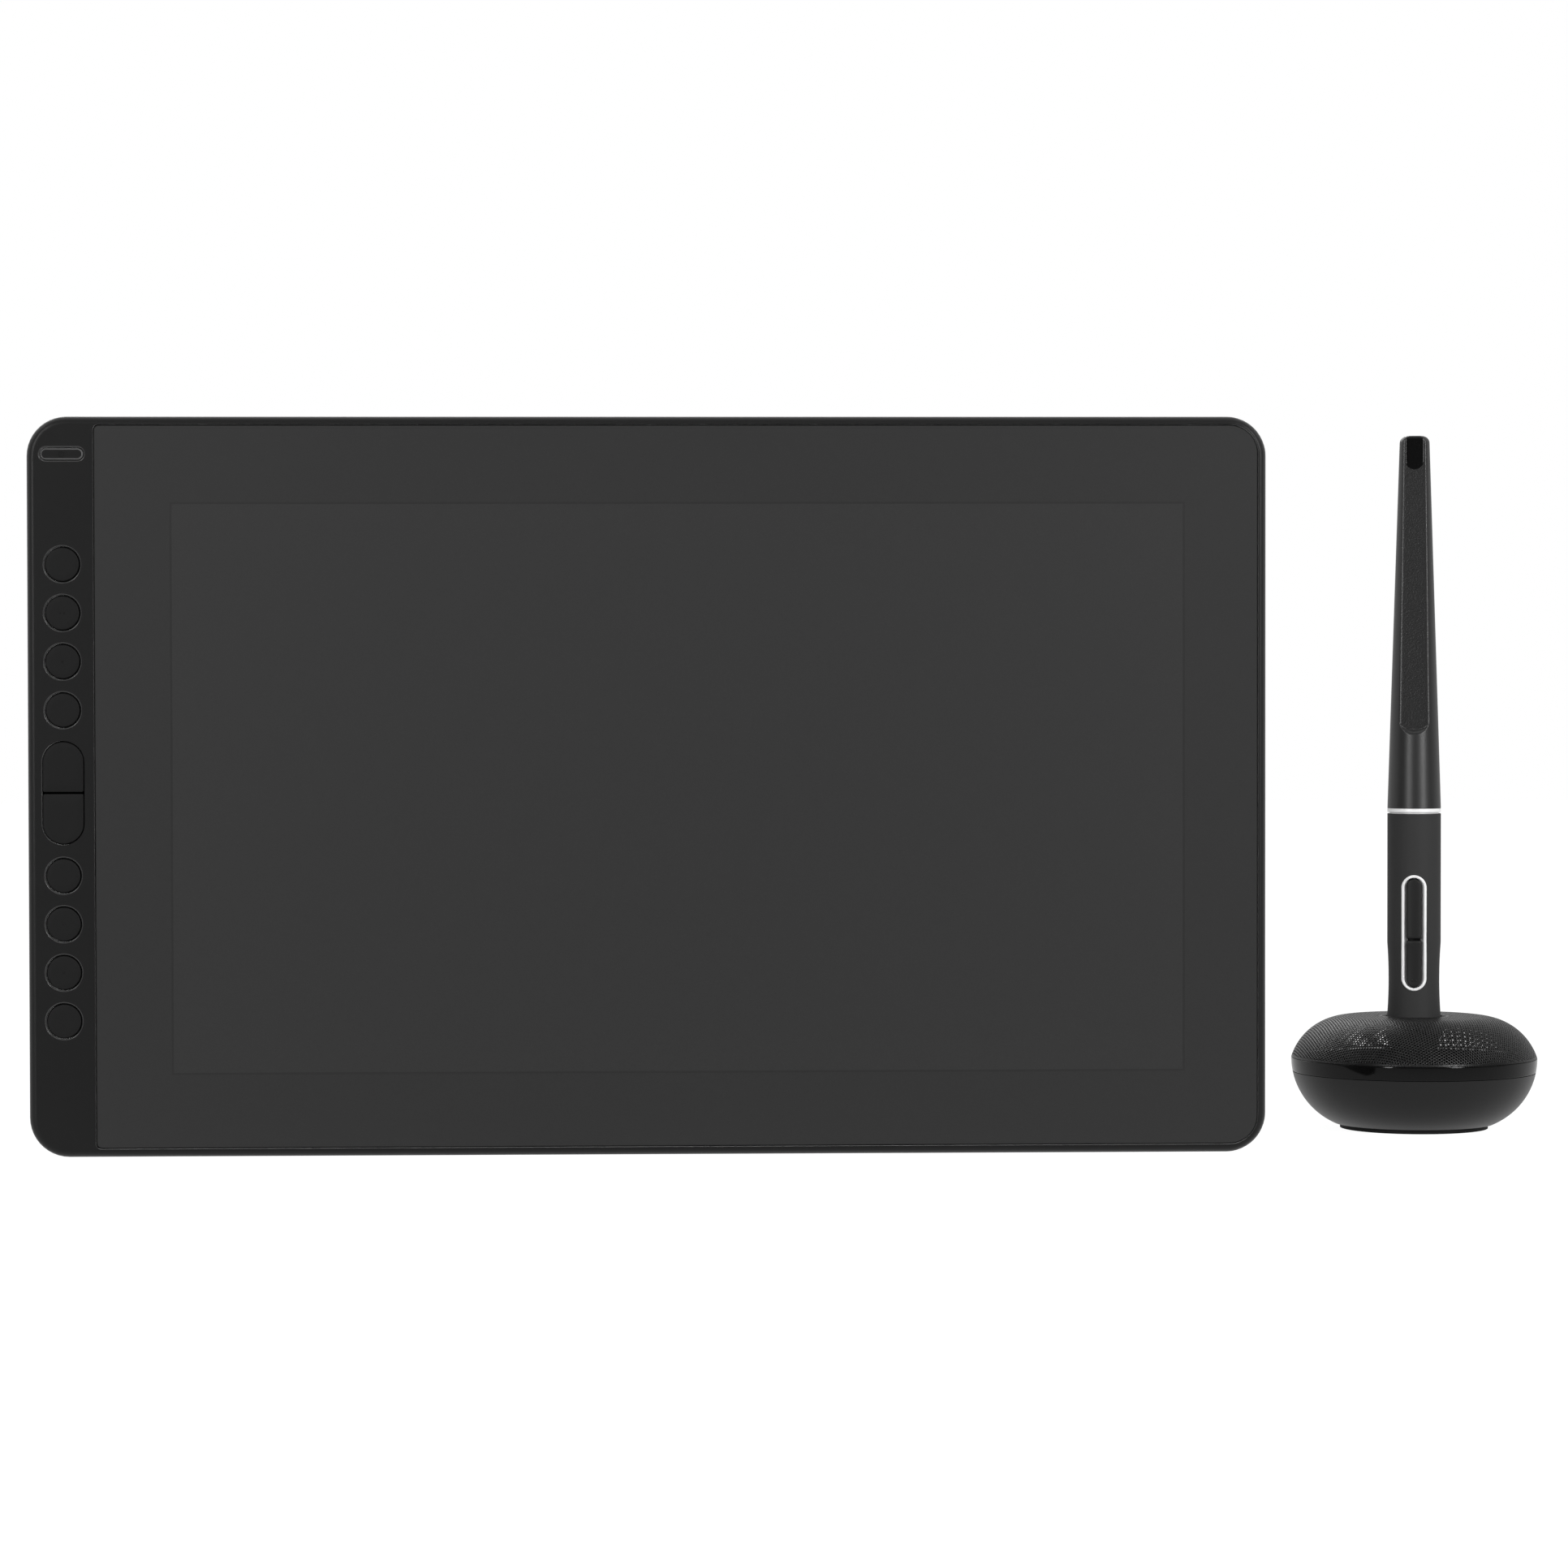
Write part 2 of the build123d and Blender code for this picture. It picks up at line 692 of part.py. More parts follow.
with BuildPart() as stand_bowl:
    with BuildSketch(radial_plane(0)):
        with BuildLine():
            outer = ThreePointArc(
                (arc_radius(foot_t, bowl_arc_r), foot_t),
                (arc_radius(bowl_mid_z, bowl_arc_r), bowl_mid_z),
                (arc_radius(band_low_z, bowl_arc_r), band_low_z),
            )
            Polyline(
                outer @ 1,
                (neck_r, band_low_z),
                (neck_r, neck_top_z),
                (neck_r - neck_wall_t, neck_top_z),
                (neck_r - neck_wall_t, band_low_z),
            )
            inner = ThreePointArc(
                (neck_r - neck_wall_t, band_low_z),
                (arc_radius(bowl_mid_z, bowl_inner_r), bowl_mid_z),
                (arc_radius(floor_z, bowl_inner_r), floor_z),
            )
            Polyline(inner @ 1, (0, floor_z), (0, foot_t), outer @ 0)
        make_face()
    revolve(axis=stand_axis)
    for index in range(lug_count):
        start = index * 360 / lug_count - lug_slack
        with BuildSketch(radial_plane(start)):
            with Locations((neck_r - neck_wall_t / 2, lug_z + lug_h / 2)):
                Rectangle(neck_wall_t + overrun, lug_h + 2 * running_gap)
        revolve(axis=stand_axis, revolution_arc=lug_arc + twist_deg + 2 * lug_slack, mode=Mode.SUBTRACT)
        with BuildSketch(radial_plane(start + twist_deg)):
            with Locations((neck_r - neck_wall_t / 2, lug_z)):
                Rectangle(neck_wall_t + overrun, band_h, align=(Align.CENTER, Align.MIN))
        revolve(axis=stand_axis, revolution_arc=lug_arc + 2 * lug_slack, mode=Mode.SUBTRACT)
save(stand_bowl.part, "stand_bowl")

# Band: glossy locking ring on the same arc as the bowl, with three lugs inside.
with BuildPart() as stand_band:
    with BuildSketch(radial_plane(0)):
        with BuildLine():
            side = ThreePointArc(
                (arc_radius(band_low_z, bowl_arc_r), band_low_z),
                (arc_radius(band_low_z + band_h / 2, bowl_arc_r), band_low_z + band_h / 2),
                (rim_r, rim_z),
            )
            Polyline(side @ 1, (band_inner_r, rim_z), (band_inner_r, band_low_z), side @ 0)
        make_face()
    revolve(axis=stand_axis)
    for index in range(lug_count):
        with BuildSketch(radial_plane(index * 360 / lug_count)):
            with Locations((band_inner_r + lug_root, lug_z)):
                Rectangle(lug_root + lug_reach, lug_h, align=(Align.MAX, Align.MIN))
        revolve(axis=stand_axis, revolution_arc=lug_arc)
save(stand_band.part, "stand_band")

# Weight, nib tray, spare nibs and puller ring inside the bowl.
weight_t = 4.6
weight_gap = 0.3
weight_r = arc_radius(floor_z, bowl_inner_r) - weight_gap
tray_t = 3.4
tray_inner_r = 11.5
tray_rim_gap = 0.4
tray_z = floor_z + weight_t
tray_r = arc_radius(tray_z, bowl_inner_r) - tray_rim_gap
nib_ring_r = 20.0
nib_count = 10
nib_hole_gap = 0.2
nib_floor_t = 0.8
spare_nib_len = 11.5
puller_r = 3.2
puller_bore_r = 2.0
puller_t = 2.4
puller_gap = 0.25
puller_angle = 18.0
puller_x = stand_x + nib_ring_r * cos(radians(puller_angle))
puller_y = stand_y + nib_ring_r * sin(radians(puller_angle))
nib_step = 360 / (nib_count + 2)
nib_turns = [radians((index + 2) * nib_step) for index in range(nib_count)]
nib_places = [
    (stand_x + nib_ring_r * cos(turn), stand_y + nib_ring_r * sin(turn)) for turn in nib_turns
]

with BuildPart() as stand_weight:
    with BuildSketch(Plane.XY.offset(floor_z)):
        with Locations((stand_x, stand_y)):
            Circle(weight_r)
    extrude(amount=weight_t)
save(stand_weight.part, "stand_weight")

with BuildPart() as nib_tray:
    with BuildSketch(Plane.XY.offset(tray_z)):
        with Locations((stand_x, stand_y)):
            Circle(tray_r)
            Circle(tray_inner_r, mode=Mode.SUBTRACT)
    extrude(amount=tray_t)
    with BuildSketch(Plane.XY.offset(tray_z + nib_floor_t)):
        with Locations(*nib_places):
            Circle(nib_r + nib_hole_gap)
        with Locations((puller_x, puller_y)):
            Circle(puller_r + puller_gap)
    extrude(amount=tray_t, mode=Mode.SUBTRACT)
save(nib_tray.part, "nib_tray")

with BuildPart() as spare_nibs:
    with BuildSketch(Plane.XY.offset(tray_z + nib_floor_t)):
        with Locations(*nib_places):
            Circle(nib_r)
    extrude(amount=spare_nib_len)
    fillet(spare_nibs.faces().filter_by(Axis.Z).group_by(Axis.Z)[-1].edges(), nib_r / 2)
save(spare_nibs.part, "spare_nibs")

with BuildPart() as nib_puller:
    with BuildSketch(Plane.XY.offset(tray_z + nib_floor_t)):
        with Locations((puller_x, puller_y)):
            Circle(puller_r)
            Circle(puller_bore_r, mode=Mode.SUBTRACT)
    extrude(amount=puller_t)
save(nib_puller.part, "nib_puller")

# Dome: pressed lid of fine perforated sheet, kept plain, with a short spigot that plugs into the band.
dome_arc_reach = rim_r - dome_flat_r
dome_drop = dome_top_z - rim_z
dome_arc_r = (dome_arc_reach**2 + dome_drop**2) / (2 * dome_drop)
dome_centre_z = dome_top_z - dome_arc_r
socket_wall_t = 1.2
socket_mouth_r = flare_r + running_gap
socket_r = socket_mouth_r + socket_wall_t
spigot_r = band_inner_r - running_gap
spigot_t = 1.2
spigot_gap = 0.35
spigot_low_z = neck_top_z + spigot_gap


def dome_height(r, arc_r):
    """Height of the dome's outer or inner arc at a radius."""
    return dome_centre_z + sqrt(arc_r**2 - (r - dome_flat_r) ** 2)


dome_inner_arc_r = dome_arc_r - dome_t
dome_mid_r = dome_flat_r + dome_arc_reach * sin(radians(45))
dome_inner_r = spigot_r - spigot_t
inner_mid_r = (dome_flat_r + dome_inner_r) / 2

with BuildPart() as stand_mesh_top:
    with BuildSketch(radial_plane(0)):
        with BuildLine():
            Polyline((socket_r, dome_top_z - dome_t), (socket_r, dome_top_z), (dome_flat_r, dome_top_z))
            ThreePointArc(
                (dome_flat_r, dome_top_z),
                (dome_mid_r, dome_height(dome_mid_r, dome_arc_r)),
                (rim_r, rim_z),
            )
            Polyline(
                (rim_r, rim_z),
                (spigot_r, rim_z),
                (spigot_r, spigot_low_z),
                (dome_inner_r, spigot_low_z),
                (dome_inner_r, dome_height(dome_inner_r, dome_inner_arc_r)),
            )
            ThreePointArc(
                (dome_inner_r, dome_height(dome_inner_r, dome_inner_arc_r)),
                (inner_mid_r, dome_height(inner_mid_r, dome_inner_arc_r)),
                (dome_flat_r, dome_top_z - dome_t),
            )
            Line((dome_flat_r, dome_top_z - dome_t), (socket_r, dome_top_z - dome_t))
        make_face()
    revolve(axis=stand_axis)
save(stand_mesh_top.part, "stand_mesh_top")

# Pen socket: moulded cup under the dome that takes the pen's nose point down.
grip_z = dome_top_z - grip_sink
nose_top_r = 6.5
nose_tip_r = 2.3
nose_z = grip_z - nose_len
nib_tip_z = nose_z - nib_show
ledge_gap = 0.3
tip_gap = 1.0
cup_floor_t = 1.2
cup_floor_z = nib_tip_z - tip_gap
cup_low_r = nose_tip_r + running_gap + socket_wall_t
flange_reach = 3.0

with BuildPart() as pen_socket:
    with BuildSketch(radial_plane(0)):
        with BuildLine():
            Polyline(
                (0, cup_floor_z - cup_floor_t),
                (cup_low_r, cup_floor_z - cup_floor_t),
                (socket_r - socket_wall_t, grip_z - ledge_gap - socket_wall_t),
                (socket_r, grip_z - ledge_gap),
                (socket_r, dome_top_z - dome_t - socket_wall_t),
                (socket_r + flange_reach, dome_top_z - dome_t - socket_wall_t),
                (socket_r + flange_reach, dome_top_z - dome_t),
                (socket_r, dome_top_z - dome_t),
                (socket_r, dome_top_z),
                (socket_mouth_r, dome_top_z),
                (socket_mouth_r, grip_z - ledge_gap),
                (nose_top_r + running_gap, grip_z - ledge_gap),
                (nose_tip_r + running_gap, nose_z - ledge_gap),
                (nose_tip_r + running_gap, cup_floor_z),
                (0, cup_floor_z),
                close=True,
            )
        make_face()
    revolve(axis=stand_axis)
save(pen_socket.part, "pen_socket")

# Pen. Heights run up its axis from the grip's lower end.
grip_wall_t = 1.6
chassis_gap = 0.4
chassis_r = grip_r - grip_wall_t - chassis_gap
grip_top_z = grip_z + grip_len
ring_z = grip_top_z + neck_len
barrel_z = ring_z + ring_len
barrel_top_z = barrel_z + barrel_len
end_r = 2.2


def pen_plane(front):
    """Plane at a distance in front of the pen's axis, turned with the pen: x runs across and y up."""
    return Plane(
        origin=(stand_x - front * sin(pen_turn), stand_y - front * cos(pen_turn), 0),
        x_dir=(cos(pen_turn), -sin(pen_turn), 0),
        z_dir=(-sin(pen_turn), -cos(pen_turn), 0),
    )


def grip_side(grow):
    """Grip's outer line from its flared foot over the waist to the ring, moved out by grow."""
    foot = (flare_r + grow, grip_z)
    waist = (waist_r + grow, grip_z + waist_shares[0] * grip_len)
    shoulder = (grip_r + grow, grip_z + waist_shares[1] * grip_len)
    return foot, waist, shoulder


# Nose: moulded cone that screws to the chassis, open along its axis for the nib.
nose_wall_t = 1.2
nib_bore_r = nib_r + nib_hole_gap
spigot_len = 4.0
chassis_wall_t = 1.7
chassis_bore_r = chassis_r - chassis_wall_t

with BuildPart() as pen_nose:
    with BuildSketch(radial_plane(0)):
        with BuildLine():
            Polyline(
                (nib_bore_r, nose_z),
                (nose_tip_r, nose_z),
                (nose_top_r, grip_z),
                (chassis_r, grip_z),
                (chassis_r, grip_z + spigot_len),
                (chassis_r - nose_wall_t, grip_z + spigot_len),
                (chassis_r - nose_wall_t, grip_z),
                (nib_bore_r + nose_wall_t, nose_z + nib_show),
                (nib_bore_r, nose_z + nib_show),
                close=True,
            )
        make_face()
    revolve(axis=stand_axis)
save(pen_nose.part, "pen_nose")

# Grip: soft rubber sleeve over the chassis, with a slot for the button bezel.
bezel_w = 7.6
bezel_h = 35.5
bezel_ring_w = 0.83
bezel_proud = 0.25
bezel_back = 5.0
bezel_rise = 27.4
bezel_z = grip_z + bezel_rise

with BuildPart() as pen_grip:
    with BuildSketch(radial_plane(0)):
        with BuildLine():
            sleeve_foot, sleeve_waist, sleeve_shoulder = grip_side(0)
            ThreePointArc(sleeve_foot, sleeve_waist, sleeve_shoulder)
            Polyline(
                sleeve_shoulder,
                (grip_r, grip_top_z),
                (grip_r - grip_wall_t, grip_top_z),
                (grip_r - grip_wall_t, grip_z),
                sleeve_foot,
            )
        make_face()
    revolve(axis=stand_axis)
    with BuildSketch(pen_plane(0)):
        with Locations((0, bezel_z)):
            SlotOverall(bezel_h, bezel_w, rotation=90)
    extrude(amount=flare_r + overrun, mode=Mode.SUBTRACT)
save(pen_grip.part, "pen_grip")

# Bezel: plated oval ring round the side buttons, standing a little proud of the grip.
with BuildPart() as button_bezel:
    with BuildSketch(pen_plane(bezel_back)):
        with Locations((0, bezel_z)):
            SlotOverall(bezel_h, bezel_w, rotation=90)
            SlotOverall(
                bezel_h - 2 * bezel_ring_w,
                bezel_w - 2 * bezel_ring_w,
                rotation=90,
                mode=Mode.SUBTRACT,
            )
    extrude(amount=flare_r + overrun - bezel_back)
    with BuildSketch(radial_plane(0)):
        with BuildLine():
            ring_foot, ring_waist, ring_shoulder = grip_side(bezel_proud)
            ThreePointArc(ring_foot, ring_waist, ring_shoulder)
            Polyline(
                ring_shoulder, (grip_r + bezel_proud, grip_top_z), (0, grip_top_z), (0, grip_z), ring_foot
            )
        make_face()
    revolve(axis=stand_axis, mode=Mode.INTERSECT)
save(button_bezel.part, "button_bezel")

# Side buttons: two caps in the bezel, each with a flange behind it and a switch on the board below.
button_w = 4.55
button_end_gap = 0.35
button_split = 0.87
button_share = 0.56
button_flange_t = 0.6
button_flange_w = 0.9
button_travel = 0.3
button_proud = 0.55
switch_gap = 0.1
board_front = 2.4
pen_board_t = 0.8
tact_t = 0.5
tact_w = 3.0
button_back = board_front + pen_board_t + tact_t + button_travel + switch_gap
buttons_h = bezel_h - 2 * bezel_ring_w - 2 * button_end_gap
buttons_top = bezel_z + buttons_h / 2
button_cut_z = buttons_top - button_share * buttons_h
upper_h = buttons_top - button_cut_z - button_split / 2
lower_h = buttons_h - upper_h - button_split
upper_z = buttons_top - upper_h / 2
lower_z = bezel_z - buttons_h / 2 + lower_h / 2

for name, centre_z, length in (
    ("side_button_upper", upper_z, upper_h),
    ("side_button_lower", lower_z, lower_h),
):
    with BuildPart() as side_button:
        with BuildSketch(pen_plane(button_back)):
            with Locations((0, bezel_z)):
                SlotOverall(buttons_h, button_w, rotation=90)
            with Locations((0, centre_z)):
                Rectangle(bezel_w, length, mode=Mode.INTERSECT)
        extrude(amount=flare_r + overrun - button_back)
        with BuildSketch(radial_plane(0)):
            with BuildLine():
                cap_foot, cap_waist, cap_shoulder = grip_side(button_proud)
                ThreePointArc(cap_foot, cap_waist, cap_shoulder)
                Polyline(
                    cap_shoulder, (grip_r + button_proud, grip_top_z), (0, grip_top_z), (0, grip_z), cap_foot
                )
            make_face()
        revolve(axis=stand_axis, mode=Mode.INTERSECT)
        with BuildSketch(pen_plane(button_back)):
            with Locations((0, centre_z)):
                Rectangle(button_w + 2 * button_flange_w, length - button_w / 2)
        extrude(amount=button_flange_t)
    save(side_button.part, name)

# Inside the pen: trough-shaped chassis, board with two switches, pressure sensor, antenna coil and nib.
chassis_len = 74.0
chassis_end_t = 3.0
sensor_rise = 9.0
sensor_z = grip_z + sensor_rise
sensor_len = 7.0
sensor_gap = 0.2
coil_rise = 4.0
coil_len = 9.0
coil_gap = 0.12
coil_bore_r = 1.3
nib_travel = 0.3
nib_round_share = 0.9
coil_z = nose_z + nib_show + coil_rise
nose_bore_low_r = nib_bore_r + nose_wall_t
nose_bore_top_r = chassis_r - nose_wall_t
coil_share = coil_rise / (nose_len - nib_show)
coil_r = nose_bore_low_r + coil_share * (nose_bore_top_r - nose_bore_low_r) - coil_gap
nib_top_z = sensor_z - sensor_gap - nib_travel
chassis_z = grip_z + spigot_len
pen_board_w = 9.6
pen_board_rise = 5.0
pen_board_z = grip_z + pen_board_rise
pen_board_len = 66.0

with BuildPart() as pen_chassis:
    with BuildSketch(Plane.XY.offset(chassis_z)):
        with Locations((stand_x, stand_y)):
            Circle(chassis_r)
            Circle(chassis_bore_r, mode=Mode.SUBTRACT)
    extrude(amount=chassis_len - chassis_end_t)
    with BuildSketch(Plane.XY.offset(chassis_z + chassis_len - chassis_end_t)):
        with Locations((stand_x, stand_y)):
            Circle(chassis_r)
    extrude(amount=chassis_end_t)
    with BuildSketch(pen_plane(board_front)):
        with Locations((0, chassis_z)):
            Rectangle(2 * chassis_r, chassis_len - chassis_end_t, align=(Align.CENTER, Align.MIN))
    extrude(amount=chassis_r, mode=Mode.SUBTRACT)
save(pen_chassis.part, "pen_chassis")

with BuildPart() as pen_board:
    with BuildSketch(pen_plane(board_front)):
        with Locations((0, pen_board_z)):
            Rectangle(pen_board_w, pen_board_len, align=(Align.CENTER, Align.MIN))
    extrude(amount=pen_board_t)
    with BuildSketch(pen_plane(board_front + pen_board_t)):
        with Locations((0, upper_z), (0, lower_z)):
            Rectangle(tact_w, tact_w)
    extrude(amount=tact_t)
save(pen_board.part, "pen_board")

with BuildPart() as pressure_sensor:
    with BuildSketch(Plane.XY.offset(sensor_z)):
        with Locations((stand_x, stand_y)):
            Circle(chassis_bore_r)
    extrude(amount=sensor_len)
    with BuildSketch(pen_plane(board_front)):
        with Locations((0, sensor_z)):
            Rectangle(2 * chassis_r, sensor_len, align=(Align.CENTER, Align.MIN))
    extrude(amount=chassis_r, mode=Mode.SUBTRACT)
save(pressure_sensor.part, "pressure_sensor")

with BuildPart() as pen_coil:
    with BuildSketch(Plane.XY.offset(coil_z)):
        with Locations((stand_x, stand_y)):
            Circle(coil_r)
            Circle(coil_bore_r, mode=Mode.SUBTRACT)
    extrude(amount=coil_len)
save(pen_coil.part, "pen_coil")

with BuildPart() as pen_nib:
    with BuildSketch(Plane.XY.offset(nib_tip_z)):
        with Locations((stand_x, stand_y)):
            Circle(nib_r)
    extrude(amount=nib_top_z - nib_tip_z)
    fillet(pen_nib.faces().sort_by(Axis.Z)[0].edges(), nib_round_share * nib_r)
save(pen_nib.part, "pen_nib")

# Ring: bright turned ring between grip and barrel, on a narrower neck.
ring_wall_t = 1.6
neck_step = 0.7

with BuildPart() as pen_ring:
    with BuildSketch(radial_plane(0)):
        with BuildLine():
            Polyline(
                (grip_r - ring_wall_t, grip_top_z),
                (grip_r - neck_step, grip_top_z),
                (grip_r - neck_step, ring_z),
                (grip_r, ring_z),
                (grip_r, barrel_z),
                (grip_r - ring_wall_t, barrel_z),
                close=True,
            )
        make_face()
    revolve(axis=stand_axis)
save(pen_ring.part, "pen_ring")

# Barrel: tapered shell with a long flat facet on its front and a slot in its end for the insert.
insert_w = 5.5
insert_len = 10.1
insert_depth = 2.0
insert_sink = 0.3
facet_low_z = barrel_top_z - facet_len
taper = (grip_r - barrel_top_r) / barrel_len
facet_end_share = 0.56
slot_r = facet_end_share * grip_r


def barrel_radius(z):
    """Barrel's outer radius at a height."""
    return barrel_top_r + (barrel_top_z - z) * taper


def facet_plane(sink):
    """Plane along the barrel's slope, sunk below its front line: x runs across and y up the slope."""
    upright = pen_plane(barrel_radius(facet_low_z) - sink)
    return Plane(
        origin=upright.origin + Vector(0, 0, facet_low_z),
        x_dir=upright.x_dir,
        z_dir=upright.z_dir + Vector(0, 0, taper),
    )


with BuildPart() as pen_barrel:
    with BuildSketch(radial_plane(0)):
        with BuildLine():
            Polyline(
                (0, barrel_top_z - barrel_wall_t),
                (0, barrel_top_z),
                (barrel_top_r, barrel_top_z),
                (grip_r, barrel_z),
                (grip_r - barrel_wall_t, barrel_z),
                (barrel_top_r - barrel_wall_t, barrel_top_z - insert_len - barrel_wall_t),
                (0, barrel_top_z - insert_len - barrel_wall_t),
                close=True,
            )
        make_face()
    revolve(axis=stand_axis)
    fillet(pen_barrel.faces().sort_by(Axis.Z)[-1].edges(), end_r)
    with BuildSketch(facet_plane(facet_depth)):
        with Locations((0, slot_r)):
            Circle(slot_r)
            Rectangle(2 * slot_r, facet_len, align=(Align.CENTER, Align.MIN))
    extrude(amount=slot_r, mode=Mode.SUBTRACT)
    with BuildSketch(facet_plane(facet_depth + insert_depth)):
        with Locations((0, facet_len - insert_len + insert_w / 2)):
            Circle(insert_w / 2)
            Rectangle(insert_w, insert_len, align=(Align.CENTER, Align.MIN))
    extrude(amount=insert_depth + slot_r, mode=Mode.SUBTRACT)
save(pen_barrel.part, "pen_barrel")

# End insert: glossy moulded tongue that fills the slot, a little below the facet.
with BuildPart() as pen_end_insert:
    with BuildSketch(facet_plane(facet_depth + insert_depth)):
        with Locations((0, facet_len - insert_len + insert_w / 2)):
            Circle(insert_w / 2)
            Rectangle(insert_w, insert_len - insert_w / 2 - insert_sink, align=(Align.CENTER, Align.MIN))
    extrude(amount=insert_depth - insert_sink)
    with BuildSketch(radial_plane(0)):
        with BuildLine():
            Polyline(
                (0, facet_low_z),
                (0, barrel_top_z - insert_sink),
                (barrel_top_r, barrel_top_z - insert_sink),
                (barrel_radius(facet_low_z), facet_low_z),
                close=True,
            )
        end_face = make_face()
        fillet(end_face.vertices().group_by(Axis.Y)[-1].sort_by(Axis.X)[-1], end_r)
    revolve(axis=stand_axis, mode=Mode.INTERSECT)
save(pen_end_insert.part, "pen_end_insert")
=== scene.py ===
from math import radians

import bmesh
import bpy
import numpy as np
from mathutils import Matrix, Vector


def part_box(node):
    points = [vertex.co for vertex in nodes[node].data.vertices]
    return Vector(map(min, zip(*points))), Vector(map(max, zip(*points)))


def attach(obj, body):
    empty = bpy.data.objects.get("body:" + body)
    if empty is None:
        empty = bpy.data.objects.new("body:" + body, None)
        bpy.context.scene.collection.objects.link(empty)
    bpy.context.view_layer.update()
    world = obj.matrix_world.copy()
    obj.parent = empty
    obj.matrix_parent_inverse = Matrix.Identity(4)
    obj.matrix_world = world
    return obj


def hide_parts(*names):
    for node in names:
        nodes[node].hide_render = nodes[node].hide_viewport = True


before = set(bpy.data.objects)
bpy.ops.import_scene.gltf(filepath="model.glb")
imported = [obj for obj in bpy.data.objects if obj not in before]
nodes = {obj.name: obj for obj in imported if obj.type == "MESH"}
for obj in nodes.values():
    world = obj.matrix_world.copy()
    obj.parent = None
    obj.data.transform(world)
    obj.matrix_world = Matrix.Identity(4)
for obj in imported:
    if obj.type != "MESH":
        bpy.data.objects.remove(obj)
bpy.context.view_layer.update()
scene = bpy.context.scene
scene.view_settings.view_transform = "Standard"

# Studio: a pale table under a pale backdrop. A tall soft box stands at each side of the camera,
# weaker ones hang overhead, in front and beyond each end, and one lights the back.
# The camera stands 1.3 m in front of the screen, a little above its middle, with a long lens.
camera_place = (-0.045965, -1.3548, 0.135336)
camera_turn, camera_tilt, camera_roll = radians(-1.695), radians(-1.213), radians(0.095)
camera_data = bpy.data.cameras.new("camera")
camera_data.sensor_width = 36.0
camera_data.lens = 102.8
camera = bpy.data.objects.new("camera", camera_data)
scene.collection.objects.link(camera)
scene.camera = camera
aim = (
    Matrix.Rotation(camera_turn, 3, "Z")
    @ Matrix.Rotation(camera_tilt, 3, "X")
    @ Matrix.Rotation(camera_roll, 3, "Y")
)
axes = Matrix((aim.col[0], aim.col[2], -aim.col[1])).transposed()
camera.matrix_world = Matrix.Translation(camera_place) @ axes.to_4x4()

studio_middle = np.array((0.05, 0.0, 0.1))
for name, place, width, length, watts in (
    ("soft_box_left", (-1.34, -2.33, 0.75), 0.35, 1.4, 21.0),
    ("soft_box_right", (0.95, -1.28, 0.62), 0.28, 1.05, 12.0),
    ("soft_box_top", (0.0, -0.1, 1.7), 1.6, 0.6, 2.0),
    ("soft_box_front", (0.1, -1.45, 1.0), 0.8, 0.3, 0.7),
    ("edge_box_left", (-1.15, -0.2, 1.1), 0.4, 0.6, 1.5),
    ("edge_box_right", (1.25, -0.2, 1.1), 0.4, 0.6, 1.5),
    ("soft_box_back", (-0.4, 1.6, 1.0), 1.6, 0.6, 7.0),
):
    light_data = bpy.data.lights.new(name, "AREA")
    light_data.shape = "RECTANGLE"
    light_data.size = width
    light_data.size_y = length
    light_data.energy = watts
    light = bpy.data.objects.new(name, light_data)
    scene.collection.objects.link(light)
    back = np.array(place) - studio_middle
    back = back / np.linalg.norm(back)
    side = np.cross((0, 0, 1), back)
    side = side / np.linalg.norm(side)
    facing_in = Matrix((side, np.cross(back, side), back)).transposed()
    light.matrix_world = Matrix.Translation(place) @ facing_in.to_4x4()


def join_nodes(tree, *pairs):
    """Link each (output socket, input socket) pair of a node tree."""
    for start, end in pairs:
        tree.links.new(start, end)


def maths(tree, operation, first, second=None):
    """Maths node on sockets or plain numbers; gives its output socket."""
    node = tree.nodes.new("ShaderNodeMath")
    node.operation = operation
    for index, value in enumerate((first, second)):
        if isinstance(value, (int, float)):
            node.inputs[index].default_value = value
        elif value is not None:
            tree.links.new(value, node.inputs[index])
    return node.outputs[0]


def span(tree, value, ends, start=(0.0, 1.0)):
    """Map Range node that carries a socket's values from the span start to the span ends; gives its
    output socket."""
    node = tree.nodes.new("ShaderNodeMapRange")
    node.inputs["From Min"].default_value, node.inputs["From Max"].default_value = start
    node.inputs["To Min"].default_value, node.inputs["To Max"].default_value = ends
    tree.links.new(value, node.inputs["Value"])
    return node.outputs["Result"]


# The world is white to the camera. Mirrored, it is a pale backdrop behind and a darker room in
# front.
room_light = 0.35
backdrop_span, backdrop_light = (-0.4, 0.3), (0.1, 0.6)
world = bpy.data.worlds.new("studio")
scene.world = world
world.use_nodes = True
tree = world.node_tree
background = tree.nodes["Background"]
background.inputs["Color"].default_value = (1, 1, 1, 1)
rays = tree.nodes.new("ShaderNodeLightPath")
direction = tree.nodes.new("ShaderNodeTexCoord")
towards = tree.nodes.new("ShaderNodeSeparateXYZ")
mirrored = tree.nodes.new("ShaderNodeMix")
mirrored.inputs["A"].default_value = room_light
seen = maths(tree, "MAXIMUM", rays.outputs["Is Camera Ray"], rays.outputs["Is Transmission Ray"])
join_nodes(
    tree,
    (direction.outputs["Generated"], towards.inputs[0]),
    (rays.outputs["Is Glossy Ray"], mirrored.inputs["Factor"]),
    (span(tree, towards.outputs["Y"], backdrop_light, backdrop_span), mirrored.inputs["B"]),
    (maths(tree, "MAXIMUM", seen, mirrored.outputs["Result"]), background.inputs["Strength"]),
)

